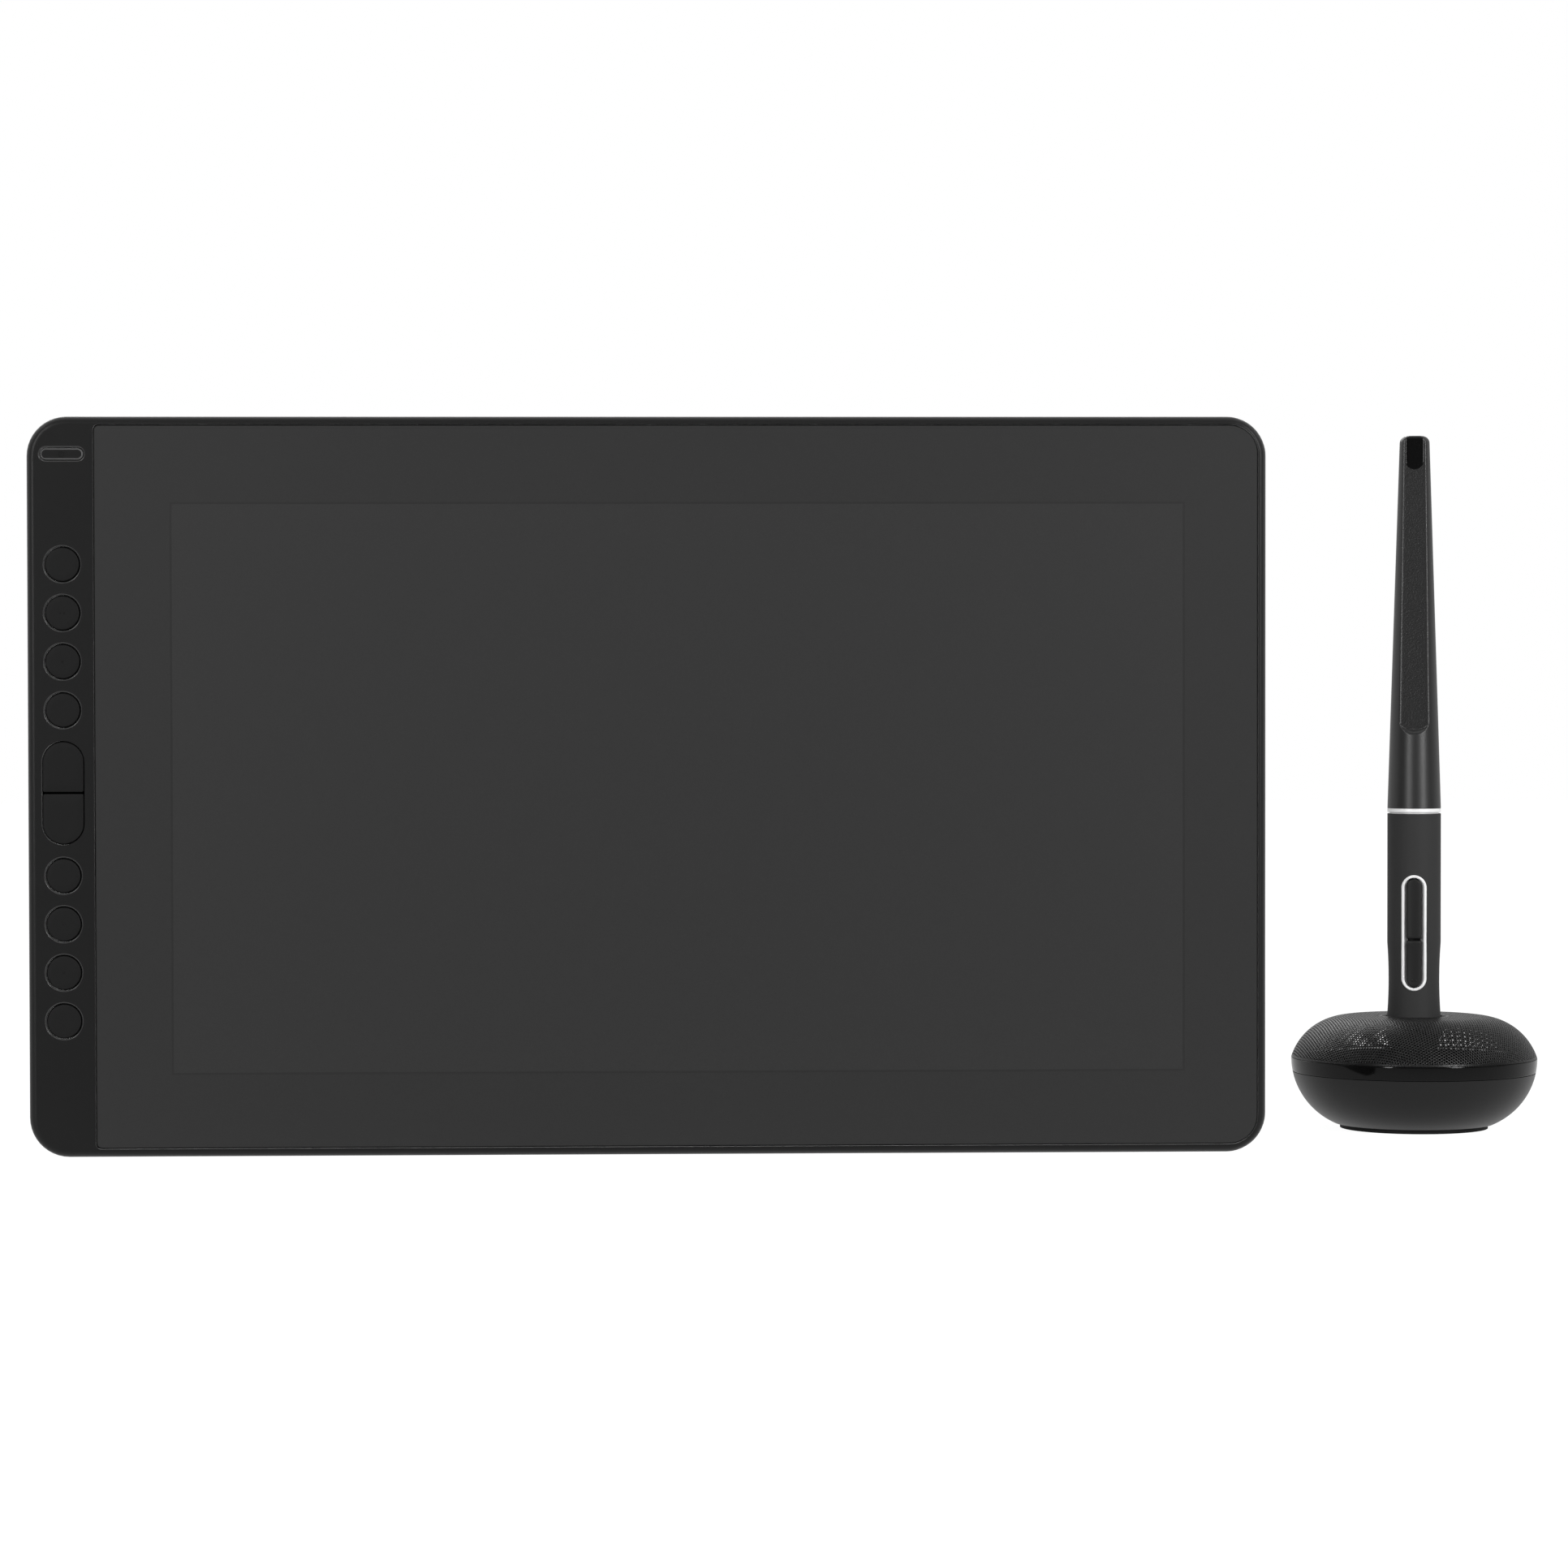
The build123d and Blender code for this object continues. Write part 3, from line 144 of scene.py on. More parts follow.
# The table is white to the camera but for the shadow on it. Mirrored, it grows paler to the back.
table_reach = 4.0
table_grey, shadow_grey, table_glow = 0.75, 0.14, 0.972
sweep_span, sweep_light = (-0.35, 0.05), (0.1, 0.7)
table_mesh = bpy.data.meshes.new("table")
corners = table_reach * np.array([(-1, -1, 0), (1, -1, 0), (1, 1, 0), (-1, 1, 0)])
table_mesh.from_pydata(corners.tolist(), [], [(0, 1, 2, 3)])
table = bpy.data.objects.new("table", table_mesh)
scene.collection.objects.link(table)
table_paint = bpy.data.materials.new("table_paint")
table_paint.use_nodes = True
tree = table_paint.node_tree
tree.nodes.clear()
output = tree.nodes.new("ShaderNodeOutputMaterial")
matt = tree.nodes.new("ShaderNodeBsdfDiffuse")
matt.inputs["Color"].default_value = (table_grey, table_grey, table_grey, 1)
shade = tree.nodes.new("ShaderNodeBsdfDiffuse")
shade.inputs["Color"].default_value = (shadow_grey, shadow_grey, shadow_grey, 1)
glow = tree.nodes.new("ShaderNodeEmission")
glow.inputs["Strength"].default_value = table_glow
shaded_glow = tree.nodes.new("ShaderNodeAddShader")
place = tree.nodes.new("ShaderNodeTexCoord")
depth = tree.nodes.new("ShaderNodeSeparateXYZ")
mirrored = tree.nodes.new("ShaderNodeEmission")
rays = tree.nodes.new("ShaderNodeLightPath")
in_mirror = tree.nodes.new("ShaderNodeMixShader")
choice = tree.nodes.new("ShaderNodeMixShader")
seen = maths(tree, "MAXIMUM", rays.outputs["Is Camera Ray"], rays.outputs["Is Transmission Ray"])
join_nodes(
    tree,
    (place.outputs["Object"], depth.inputs[0]),
    (span(tree, depth.outputs["Y"], sweep_light, sweep_span), mirrored.inputs["Strength"]),
    (rays.outputs["Is Glossy Ray"], in_mirror.inputs[0]),
    (matt.outputs[0], in_mirror.inputs[1]),
    (mirrored.outputs[0], in_mirror.inputs[2]),
    (seen, choice.inputs[0]),
    (in_mirror.outputs[0], choice.inputs[1]),
    (glow.outputs[0], shaded_glow.inputs[0]),
    (shade.outputs[0], shaded_glow.inputs[1]),
    (shaded_glow.outputs[0], choice.inputs[2]),
    (choice.outputs[0], output.inputs["Surface"]),
)
table_mesh.materials.append(table_paint)

# Tablet casing: front frame with the key strip, and the rear tray, both moulded in black
# polycarbonate. The moulds are spark-eroded, which leaves an even, very fine satin grain.
casing_grey = 19
casing_grain, patch_size = 0.00022, 0.03
fine_detail, broad_detail, fine_share = 2.0, 3.0, 0.35
rough_spread = 0.1


def ink(level):
    """Linear colour of a grey that is written as a screen level from 0 to 255."""
    share = level / 255
    value = share / 12.92 if share <= 0.04045 else ((share + 0.055) / 1.055) ** 2.4
    return (value, value, value)


def grain_group():
    """Moulded grain in object space: Height is a fine noise, and Tone a broad noise mixed with a
    share of the fine one, each from 0 to 1."""
    group = bpy.data.node_groups.new("moulded_grain", "ShaderNodeTree")
    for name, way in (
        ("Grain", "INPUT"),
        ("Patch", "INPUT"),
        ("Height", "OUTPUT"),
        ("Tone", "OUTPUT"),
    ):
        group.interface.new_socket(name, in_out=way, socket_type="NodeSocketFloat")
    entry = group.nodes.new("NodeGroupInput")
    leave = group.nodes.new("NodeGroupOutput")
    place = group.nodes.new("ShaderNodeTexCoord")
    blend = group.nodes.new("ShaderNodeMix")
    blend.inputs["Factor"].default_value = fine_share
    noises = []
    for size, detail in (("Grain", fine_detail), ("Patch", broad_detail)):
        noise = group.nodes.new("ShaderNodeTexNoise")
        noise.inputs["Detail"].default_value = detail
        scale = maths(group, "DIVIDE", 1.0, entry.outputs[size])
        join_nodes(
            group,
            (scale, noise.inputs["Scale"]),
            (place.outputs["Object"], noise.inputs["Vector"]),
        )
        noises.append(noise.outputs["Fac"])
    fine, broad = noises
    join_nodes(
        group,
        (broad, blend.inputs["A"]),
        (fine, blend.inputs["B"]),
        (fine, leave.inputs["Height"]),
        (blend.outputs["Result"], leave.inputs["Tone"]),
    )
    return group


moulded_grain = grain_group()


def mix_colours(tree, share, first, second, blend="MIX"):
    """Mix node between two colours, by a share; each is a socket or plain values. Gives its output
    socket."""
    node = tree.nodes.new("ShaderNodeMix")
    node.data_type = "RGBA"
    node.blend_type = blend
    for name, value in (("Factor", share), ("A", first), ("B", second)):
        if isinstance(value, bpy.types.NodeSocket):
            tree.links.new(value, node.inputs[name])
        else:
            node.inputs[name].default_value = value if name == "Factor" else (*value, 1)
    return node.outputs["Result"]


def new_finish(name):
    """Bare finish; gives the material, its node tree and its shader."""
    material = bpy.data.materials.new(name)
    material.use_nodes = True
    return material, material.node_tree, material.node_tree.nodes["Principled BSDF"]


def finish(
    name, colour, roughness, grain, relief, tone=0.12, specular=0.3, metallic=0.0, sheen=0.0
):
    """Solid finish whose colour and roughness vary with the grain's tone, and whose height gives a
    fine bump."""
    material, tree, shader = new_finish(name)
    shader.inputs["Specular IOR Level"].default_value = specular
    shader.inputs["Metallic"].default_value = metallic
    shader.inputs["Sheen Weight"].default_value = sheen
    texture = tree.nodes.new("ShaderNodeGroup")
    texture.node_tree = moulded_grain
    texture.inputs["Grain"].default_value = grain
    texture.inputs["Patch"].default_value = patch_size
    patches = texture.outputs["Tone"]
    darker = [part * (1 - tone) for part in colour]
    paler = [min(1, part * (1 + tone)) for part in colour]
    rough_ends = roughness * (1 - rough_spread), min(1, roughness * (1 + rough_spread))
    bump = tree.nodes.new("ShaderNodeBump")
    bump.inputs["Strength"].default_value = 1.0
    bump.inputs["Distance"].default_value = relief
    join_nodes(
        tree,
        (texture.outputs["Height"], bump.inputs["Height"]),
        (mix_colours(tree, patches, darker, paler), shader.inputs["Base Color"]),
        (span(tree, patches, rough_ends), shader.inputs["Roughness"]),
        (bump.outputs["Normal"], shader.inputs["Normal"]),
    )
    return material


def dress(material, *names):
    """Give a CAD node's faces this material in every slot."""
    for name in names:
        mesh = nodes[name].data
        if not mesh.materials:
            mesh.materials.append(material)
        for index in range(len(mesh.materials)):
            mesh.materials[index] = material


casing = finish(
    "casing_plastic",
    ink(casing_grey),
    roughness=0.33,
    grain=casing_grain,
    relief=0.000012,
    tone=0.06,
    specular=0.15,
    sheen=0.4,
)
dress(casing, "front_frame", "rear_cover")

# Cover glass: etched, so it has a very fine sparkle, with a black border printed on its back.
# The screen is dark, and shows as a slightly paler field inside a thin darker line.
glass_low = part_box("cover_glass")[0]
tablet_low, tablet_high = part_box("rear_cover")
margin_left, margin_right, margin_top, margin_foot = 0.0416, 0.02414, 0.0251, 0.02416
screen_low_x, screen_high_x = tablet_low.x + margin_left, tablet_high.x - margin_right
screen_low_z, screen_high_z = tablet_low.z + margin_foot, tablet_high.z - margin_top
screen_x, screen_z = (screen_low_x + screen_high_x) / 2, (screen_low_z + screen_high_z) / 2
screen_w, screen_h = screen_high_x - screen_low_x, screen_high_z - screen_low_z
border_grey, field_grey, line_grey = 43, 46, 38
line_half = 0.0003
sparkle_size, sparkle_detail, sparkle_relief = 0.00035, 1.0, 0.000004
sparkle_tint, sparkle_rough = (0.86, 1.14), (0.42, 0.52)
glass_specular = 0.3


def etched_glass():
    """The distance from the screen's edge picks border, line or field, and a fine noise gives the
    sparkle."""
    material, tree, shader = new_finish("etched_glass")
    shader.inputs["Specular IOR Level"].default_value = glass_specular
    place = tree.nodes.new("ShaderNodeTexCoord")
    parts = tree.nodes.new("ShaderNodeSeparateXYZ")
    past = []
    for axis, middle, size in (("X", screen_x, screen_w), ("Z", screen_z, screen_h)):
        away = maths(tree, "ABSOLUTE", maths(tree, "SUBTRACT", parts.outputs[axis], middle))
        past.append(maths(tree, "SUBTRACT", away, size / 2))
    edge = maths(tree, "MAXIMUM", *past)
    outside = maths(tree, "GREATER_THAN", edge, line_half)
    on_line = maths(tree, "LESS_THAN", maths(tree, "ABSOLUTE", edge), line_half)
    field = mix_colours(tree, outside, ink(field_grey), ink(border_grey))
    lined = mix_colours(tree, on_line, field, ink(line_grey))
    noise = tree.nodes.new("ShaderNodeTexNoise")
    noise.inputs["Scale"].default_value = 1 / sparkle_size
    noise.inputs["Detail"].default_value = sparkle_detail
    sparkle = noise.outputs["Fac"]
    tint = mix_colours(tree, 1.0, lined, span(tree, sparkle, sparkle_tint), "MULTIPLY")
    bump = tree.nodes.new("ShaderNodeBump")
    bump.inputs["Distance"].default_value = sparkle_relief
    join_nodes(
        tree,
        (place.outputs["Object"], parts.inputs[0]),
        (place.outputs["Object"], noise.inputs["Vector"]),
        (tint, shader.inputs["Base Color"]),
        (span(tree, sparkle, sparkle_rough), shader.inputs["Roughness"]),
        (sparkle, bump.inputs["Height"]),
        (bump.outputs["Normal"], shader.inputs["Normal"]),
    )
    return material


dress(etched_glass(), "cover_glass")

# Display stack and boards inside the casing: foam tape, cell, backlight, plates, boards and
# flexible tails. None shows from outside; each has its own finish, because the casing comes apart.
track_pitch, track_w, track_len, track_relief = 0.0012, 0.00015, 0.0084, 0.00002
dark_cell_share = 0.8


def dress_rows(*rows):
    """Dress CAD nodes row by row: the finish's name, colour, roughness, grain, relief, specular
    level and metallic share, and the nodes that have it."""
    for name, colour, roughness, grain, relief, specular, metallic, *pieces in rows:
        dress(
            finish(name, colour, roughness, grain, relief, specular=specular, metallic=metallic),
            *pieces,
        )


dress_rows(
    ("foam_tape", ink(24), 0.9, 0.0003, 0.00004, 0.3, 0.0, "glass_adhesive"),
    ("backlight_sheet", (0.55, 0.55, 0.56), 0.35, 0.0004, 0.00001, 0.3, 1.0, "backlight_unit"),
    ("shield_sheet", (0.6, 0.6, 0.62), 0.4, 0.0003, 0.00001, 0.3, 1.0, "shield_plate"),
    ("pressed_plate", (0.36, 0.36, 0.37), 0.45, 0.0003, 0.00002, 0.3, 1.0, "mid_frame"),
    ("socket_shell", (0.62, 0.62, 0.63), 0.25, 0.0002, 0.000005, 0.3, 1.0, "usb_c_sockets"),
    ("spring_steel", (0.7, 0.7, 0.7), 0.25, 0.0002, 0.000005, 0.3, 1.0, "dome_switches"),
    ("black_screws", ink(60), 0.35, 0.0002, 0.000008, 0.3, 1.0, "cover_screws"),
    ("foot_rubber", ink(34), 0.75, 0.00025, 0.00003, 0.2, 0.0, "rubber_feet"),
)
cell_film = finish(
    "polarised_cell", ink(30), roughness=0.12, grain=0.0005, relief=0.0, tone=0.1, specular=0.5
)
dress(cell_film, "lcd_panel")


def printed_tracks(name, ground, track, roughness):
    """A brick pattern laid upright: long cells of the ground's colour and of a darker one, with
    tracks of a second colour as the joints between them."""
    material, tree, shader = new_finish(name)
    shader.inputs["Roughness"].default_value = roughness
    place = tree.nodes.new("ShaderNodeTexCoord")
    cells = tree.nodes.new("ShaderNodeTexBrick")
    cells.inputs["Scale"].default_value = 1.0
    cells.inputs["Brick Width"].default_value = track_len
    cells.inputs["Row Height"].default_value = track_pitch
    cells.inputs["Mortar Size"].default_value = track_w
    cells.inputs["Color1"].default_value = (*ground, 1)
    cells.inputs["Color2"].default_value = (*[dark_cell_share * part for part in ground], 1)
    cells.inputs["Mortar"].default_value = (*track, 1)
    turn = tree.nodes.new("ShaderNodeMapping")
    turn.inputs["Rotation"].default_value = (radians(90), 0, 0)
    bump = tree.nodes.new("ShaderNodeBump")
    bump.inputs["Distance"].default_value = track_relief
    join_nodes(
        tree,
        (place.outputs["Object"], turn.inputs["Vector"]),
        (turn.outputs["Vector"], cells.inputs["Vector"]),
        (cells.outputs["Color"], shader.inputs["Base Color"]),
        (cells.outputs["Fac"], bump.inputs["Height"]),
        (bump.outputs["Normal"], shader.inputs["Normal"]),
    )
    return material


green_mask = printed_tracks("solder_mask", (0.01, 0.07, 0.03), (0.03, 0.16, 0.08), roughness=0.35)
dress(green_mask, "digitizer_board", "main_board", "port_board", "key_board")
dress(printed_tracks("black_solder_mask", ink(18), ink(30), roughness=0.4), "pen_board")
amber_film = printed_tracks("amber_film", (0.30, 0.13, 0.03), (0.55, 0.25, 0.08), roughness=0.3)
dress(amber_film, "display_flex", "digitizer_flex", "key_flex")

# Keys: eight round caps and a rocker in two halves, moulded in matt black plastic. Each drops into
# its hole in the strip from behind. Four round caps carry small raised dots, and these stand no
# higher than the tablet's face.
key_grey = 25
key_edge = 0.0003
key_play = 0.00007
key_sides = 72
dot_r = 0.0003
dot_rise = 0.00013
dots_on_key = {2: (-0.0006, 0.0006), 3: (0.0,), 6: (0.0,), 7: (0.0,)}
key_depth = 0.00332
flange_w, flange_t = 0.0009, 0.0009
face_shares = (0.66, 0.33, 0.0)
merge_reach, sliver_reach = 2e-7, 1e-8


def grid_faces(rows, columns, close_rows=False, close_columns=True):
    """Quads of a grid of points, row by row, joined round in either direction."""
    row = np.arange(rows if close_rows else rows - 1)[:, None]
    column = np.arange(columns if close_columns else columns - 1)[None, :]
    next_row, next_column = (row + 1) % rows, (column + 1) % columns
    corners = (
        row * columns + column,
        row * columns + next_column,
        next_row * columns + next_column,
        next_row * columns + column,
    )
    return np.stack(corners, -1).reshape(-1, 4)


def skin(name, points, faces, material, sharp=40, fill=False):
    """Mesh object from arrays of points and faces, with doubled points merged and edges over an
    angle kept sharp. With fill, the ends that are still open are closed."""
    mesh = bpy.data.meshes.new(name)
    mesh.from_pydata(points.reshape(-1, 3).tolist(), [], [list(face) for face in faces])
    mesh.validate()
    shell = bmesh.new()
    shell.from_mesh(mesh)
    bmesh.ops.remove_doubles(shell, verts=shell.verts, dist=merge_reach)
    bmesh.ops.dissolve_degenerate(shell, edges=shell.edges, dist=sliver_reach)
    if fill:
        open_edges = [edge for edge in shell.edges if edge.is_boundary]
        bmesh.ops.holes_fill(shell, edges=open_edges, sides=0)
        bmesh.ops.recalc_face_normals(shell, faces=shell.faces)
    shell.to_mesh(mesh)
    shell.free()
    mesh.shade_smooth()
    mesh.set_sharp_from_angle(angle=radians(sharp))
    mesh.materials.append(material)
    piece = bpy.data.objects.new(name, mesh)
    scene.collection.objects.link(piece)
    return piece


def stadium(width, length, sides):
    """Outline of a long round-ended shape, upright, centred on 0, anticlockwise: a circle pulled
    apart along z."""
    angle = (np.arange(sides) + 0.5) * 2 * np.pi / sides
    ring = width / 2 * np.stack([np.cos(angle), np.sin(angle)], -1)
    ring[:, 1] += np.where(np.sin(angle) > 0, 1, -1) * (length - width) / 2
    return ring


def inset_outline(outline, inset):
    """Closed outline moved in along its own normals, taken from its neighbouring points."""
    along = np.roll(outline, -1, 0) - np.roll(outline, 1, 0)
    along = along / np.linalg.norm(along, axis=1, keepdims=True)
    inward = np.stack([-along[:, 1], along[:, 0]], -1)
    return outline + inset * inward


def round_edge(edge, steps=6):
    """Section of a round edge: (way in, height) points on a quarter circle of radius edge."""
    turns = np.linspace(0, np.pi / 2, steps)
    return [(edge * (1 - np.cos(turn)), -edge + edge * np.sin(turn)) for turn in turns]


def cap_rings(outline, section):
    """Rings of a flat cap seen from the front, each an outline and its height: from the middle of
    its back over its flange, up its side, in along the section of its edge, and in to the middle of
    its face."""
    wide = inset_outline(outline, -flange_w)
    rings = [(0 * outline + outline.mean(0), -key_depth), (wide, -key_depth)]
    rings += [(wide, flange_t - key_depth), (outline, flange_t - key_depth)]
    rings += [(inset_outline(outline, way_in), height) for way_in, height in section]
    top = rings[-1][0]
    middle = top.mean(0)
    return rings + [(middle + (top - middle) * share, 0.0) for share in face_shares]


def dot_rings(x, z, sides=16, steps=5):
    """Rings of a small raised dot: a flattened dome on a short skirt."""
    around = np.arange(sides) * 2 * np.pi / sides
    ring = np.stack([np.cos(around), np.sin(around)], -1)
    rings = [(0 * ring + (x, z), -dot_rise), (dot_r * ring + (x, z), -dot_rise)]
    rings += [
        (dot_r * np.cos(turn) * ring + (x, z), dot_rise * np.sin(turn))
        for turn in np.linspace(0, np.pi / 2, steps)
    ]
    return rings


def ring_grid(rings):
    """Arrays of x, z and height over ring and point, from rings and their heights."""
    flat = np.array([ring for ring, height in rings])
    rise = np.array([height for ring, height in rings])[:, None] + 0 * flat[..., 0]
    return flat[..., 0], flat[..., 1], rise


def stack_grids(grids, place):
    """Points and faces of closed grids of (x, z, height) arrays; place turns the three into points
    in space."""
    points, faces, start = [], [], 0
    for x, z, rise in grids:
        points.append(place(x, z, rise).reshape(-1, 3))
        faces.append(grid_faces(*x.shape) + start)
        start += x.size
    return np.concatenate(points), np.concatenate(faces)


def facing(plane_y):
    """Place for flat caps that face the viewer: the height comes forward, towards -Y, from a
    plane."""
    return lambda x, z, rise: np.stack([x, plane_y - rise, z], -1)


key_plastic = finish(
    "key_plastic",
    ink(key_grey),
    roughness=0.55,
    grain=0.0002,
    relief=0.00001,
    tone=0.05,
    specular=0.17,
)
face_y = glass_low.y
cap_y = face_y + dot_rise
hole_outlines = []
for number in range(1, 9):
    name = "round_key_" + str(number)
    low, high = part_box(name)
    middle_x, middle_z = (low.x + high.x) / 2, (low.z + high.z) / 2
    cap_w = high.x - low.x - 2 * flange_w
    outline = stadium(cap_w, cap_w, key_sides) + (middle_x, middle_z)
    hole_outlines.append(outline)
    cap_outline = inset_outline(outline, key_play)
    grids = [ring_grid(cap_rings(cap_outline, round_edge(key_edge)))]
    grids += [
        ring_grid(dot_rings(middle_x + offset, middle_z)) for offset in dots_on_key.get(number, ())
    ]
    points, faces = stack_grids(grids, facing(cap_y))
    cap = skin("round_cap_" + str(number), points, faces, key_plastic)
    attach(cap, "key_" + str(number))
    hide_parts(name)

pill_corner = 0.0006


def half_pill(width, length, side, round_r, end_steps=40, corner_steps=6):
    """Half of a rocker: a half circle at its outer end and two small round corners at the split,
    anticlockwise. The outline starts at the split and is mirrored in z where side is -1."""
    turn = np.linspace(0, np.pi, end_steps)
    end = width / 2 * np.stack([np.cos(turn), np.sin(turn)], -1) + (0, length - width / 2)
    quarter = np.linspace(0, np.pi / 2, corner_steps)
    left = round_r * np.stack([-np.cos(quarter), -np.sin(quarter)], -1)
    right = round_r * np.stack([np.sin(quarter), -np.cos(quarter)], -1)
    left = left + (round_r - width / 2, round_r)
    right = right + (width / 2 - round_r, round_r)
    outline = np.concatenate([end, left, right])
    if side < 0:
        outline = outline[::-1] * (1, -1)
    return outline


for name, side in (("upper", 1), ("lower", -1)):
    low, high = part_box("pill_key_" + name)
    width = high.x - low.x - 2 * flange_w
    length = high.z - low.z - flange_w
    split_z = low.z if side > 0 else high.z
    outline = half_pill(width, length, side, pill_corner) + ((low.x + high.x) / 2, split_z)
    cap_outline = inset_outline(outline, key_play)
    grids = [ring_grid(cap_rings(cap_outline, round_edge(key_edge)))]
    points, faces = stack_grids(grids, facing(cap_y))
    cap = skin("rocker_" + name, points, faces, key_plastic)
    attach(cap, "pill_" + name)
    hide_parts("pill_key_" + name)

low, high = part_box("pill_key_lower")[0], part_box("pill_key_upper")[1]
pill_w, pill_h = high.x - low.x - 2 * flange_w, high.z - low.z - 2 * flange_w
outline = stadium(pill_w, pill_h, key_sides) + ((low.x + high.x) / 2, (low.z + high.z) / 2)
hole_outlines.append(outline)

# Power button: a low bar of the keys' plastic with a bright cut edge and a printed power sign.
# The sign is a ring with a gap and a stroke, a thin layer of dark ink on the cap.
power_cut, power_sharp = 0.0004, 30
on_face = 1e-6
sign_r, sign_line, sign_thick, sign_drop = 0.00076, 0.00024, 0.00003, 0.0001
sign_gap, sign_steps = radians(70), 40
stroke_foot, stroke_top = 0.0001, 0.00086
low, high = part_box("power_button")
power_x, power_z = (low.x + high.x) / 2, (low.z + high.z) / 2
power_w, power_h = high.x - low.x - 2 * flange_w, high.z - low.z - 2 * flange_w
bright_edge = finish(
    "cut_edge", ink(150), roughness=0.3, grain=0.0002, relief=0.000004, metallic=0.6
)
outline = stadium(power_h, power_w, key_sides)[:, ::-1] * (1, -1) + (power_x, power_z)
hole_outlines.append(outline)
rings = cap_rings(outline, [(0.0, -power_cut), (power_cut, 0.0)])
points, faces = stack_grids([ring_grid(rings)], facing(cap_y))
power_cap = skin("power_cap", points, faces, key_plastic, sharp=power_sharp)
power_cap.data.materials.append(bright_edge)
behind_face = np.array([vertex.co.y for vertex in power_cap.data.vertices]) - cap_y
for polygon in power_cap.data.polygons:
    ends = behind_face[list(polygon.vertices)]
    if ends.min() < on_face and power_cut / 2 < ends.max() < 2 * power_cut:
        polygon.material_index = 1
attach(power_cap, "power")
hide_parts("power_button")


def ribbon(centre_line, across, thick, place):
    """Flat bar along a line of (x, z) points: four corners of its section are carried along it and
    closed."""
    corners = [
        (centre_line - across, 0.0),
        (centre_line - across, thick),
        (centre_line + across, thick),
        (centre_line + across, 0.0),
    ]
    x, z, rise = (part.T for part in ring_grid(corners))
    points = place(x, z, rise).reshape(-1, 3)
    last = 4 * (len(centre_line) - 1)
    ends = np.array([[3, 2, 1, 0], [last, last + 1, last + 2, last + 3]])
    return points, np.concatenate([grid_faces(len(centre_line), 4), ends])


sign_turn = np.linspace((np.pi + sign_gap) / 2, (5 * np.pi - sign_gap) / 2, sign_steps)
arc = np.stack([np.cos(sign_turn), np.sin(sign_turn)], -1)
sign_middle = np.array((power_x, power_z - sign_drop))
arc_points, arc_faces = ribbon(
    sign_middle + sign_r * arc, sign_line / 2 * arc, sign_thick, facing(cap_y)
)
stroke = sign_middle + np.array([(0, stroke_foot), (0, stroke_top)])
stroke_points, stroke_faces = ribbon(
    stroke, np.array((sign_line / 2, 0)), sign_thick, facing(cap_y)
)
sign_ink = finish("sign_ink", ink(6), roughness=0.5, grain=0.0002, relief=0.0, specular=0.2)
sign = skin(
    "power_sign",
    np.concatenate([arc_points, stroke_points]),
    np.concatenate([arc_faces, stroke_faces + len(arc_points)]),
    sign_ink,
)
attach(sign, "power")

# Cut rims: the edge of each key's hole is cut at a slant after moulding, which leaves a smooth,
# shiny bevel. They are a thin skin on the frame round every hole. Their grey, far paler than the
# casing's, is a painted highlight.
rim_gap, rim_w, rim_bow, rim_lift = 0.00023, 0.0004, 0.00005, 0.000015
rim_sharp = 60
# The pale rim grey is a painted highlight. The low roughness and full specular level are the rims'
# real gloss.
rim_highlight_paint = finish(
    "key_rim_painted_highlight", ink(52), roughness=0.24, grain=0.0002, relief=0.000003, specular=1.0
)
bow = np.linspace(0, 1, 5)
section = np.stack(
    [rim_gap + rim_w * bow, (rim_lift - rim_w) * (1 - bow) + rim_bow * np.sin(np.pi * bow)], -1
)
section = np.concatenate([[(rim_gap + rim_w, -rim_w)], section, [(rim_gap + rim_w, -rim_w)]])
grids = [
    ring_grid([(inset_outline(outline, -grow), rise) for grow, rise in section[::-1]])
    for outline in hole_outlines
]
points, faces = stack_grids(grids, facing(face_y))
key_rims = skin("key_rims", points, faces, rim_highlight_paint, sharp=rim_sharp)
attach(key_rims, "root")

# Holder foot and bowl: a rubber disc under a turned-looking satin shell that holds a weight.
# The bowl and the glossy band above it lie on one arc, with a fine groove between them.
foot_low, foot_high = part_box("stand_foot")
axis_x, axis_y = (foot_low.x + foot_high.x) / 2, (foot_low.y + foot_high.y) / 2
bowl_plastic = finish(
    "bowl_plastic",
    ink(21),
    roughness=0.34,
    grain=0.00025,
    relief=0.000012,
    tone=0.08,
    specular=0.4,
)
dress(bowl_plastic, "stand_bowl")
dress_rows(
    ("holder_foot_rubber", ink(28), 0.7, 0.00025, 0.00002, 0.2, 0.0, "stand_foot"),
    ("cast_weight", (0.1, 0.1, 0.1), 0.6, 0.0008, 0.0001, 0.3, 0.8, "stand_weight"),
    (
        "tray_plastic", ink(38), 0.6, 0.00025, 0.00002, 0.25, 0.0,
        "nib_tray", "pen_socket", "pen_chassis",
    ),
    ("nib_plastic", ink(40), 0.6, 0.0002, 0.00001, 0.3, 0.0, "spare_nibs", "pen_nib"),
    ("puller_steel", (0.5, 0.5, 0.5), 0.3, 0.0002, 0.000004, 0.3, 1.0, "nib_puller"),
)

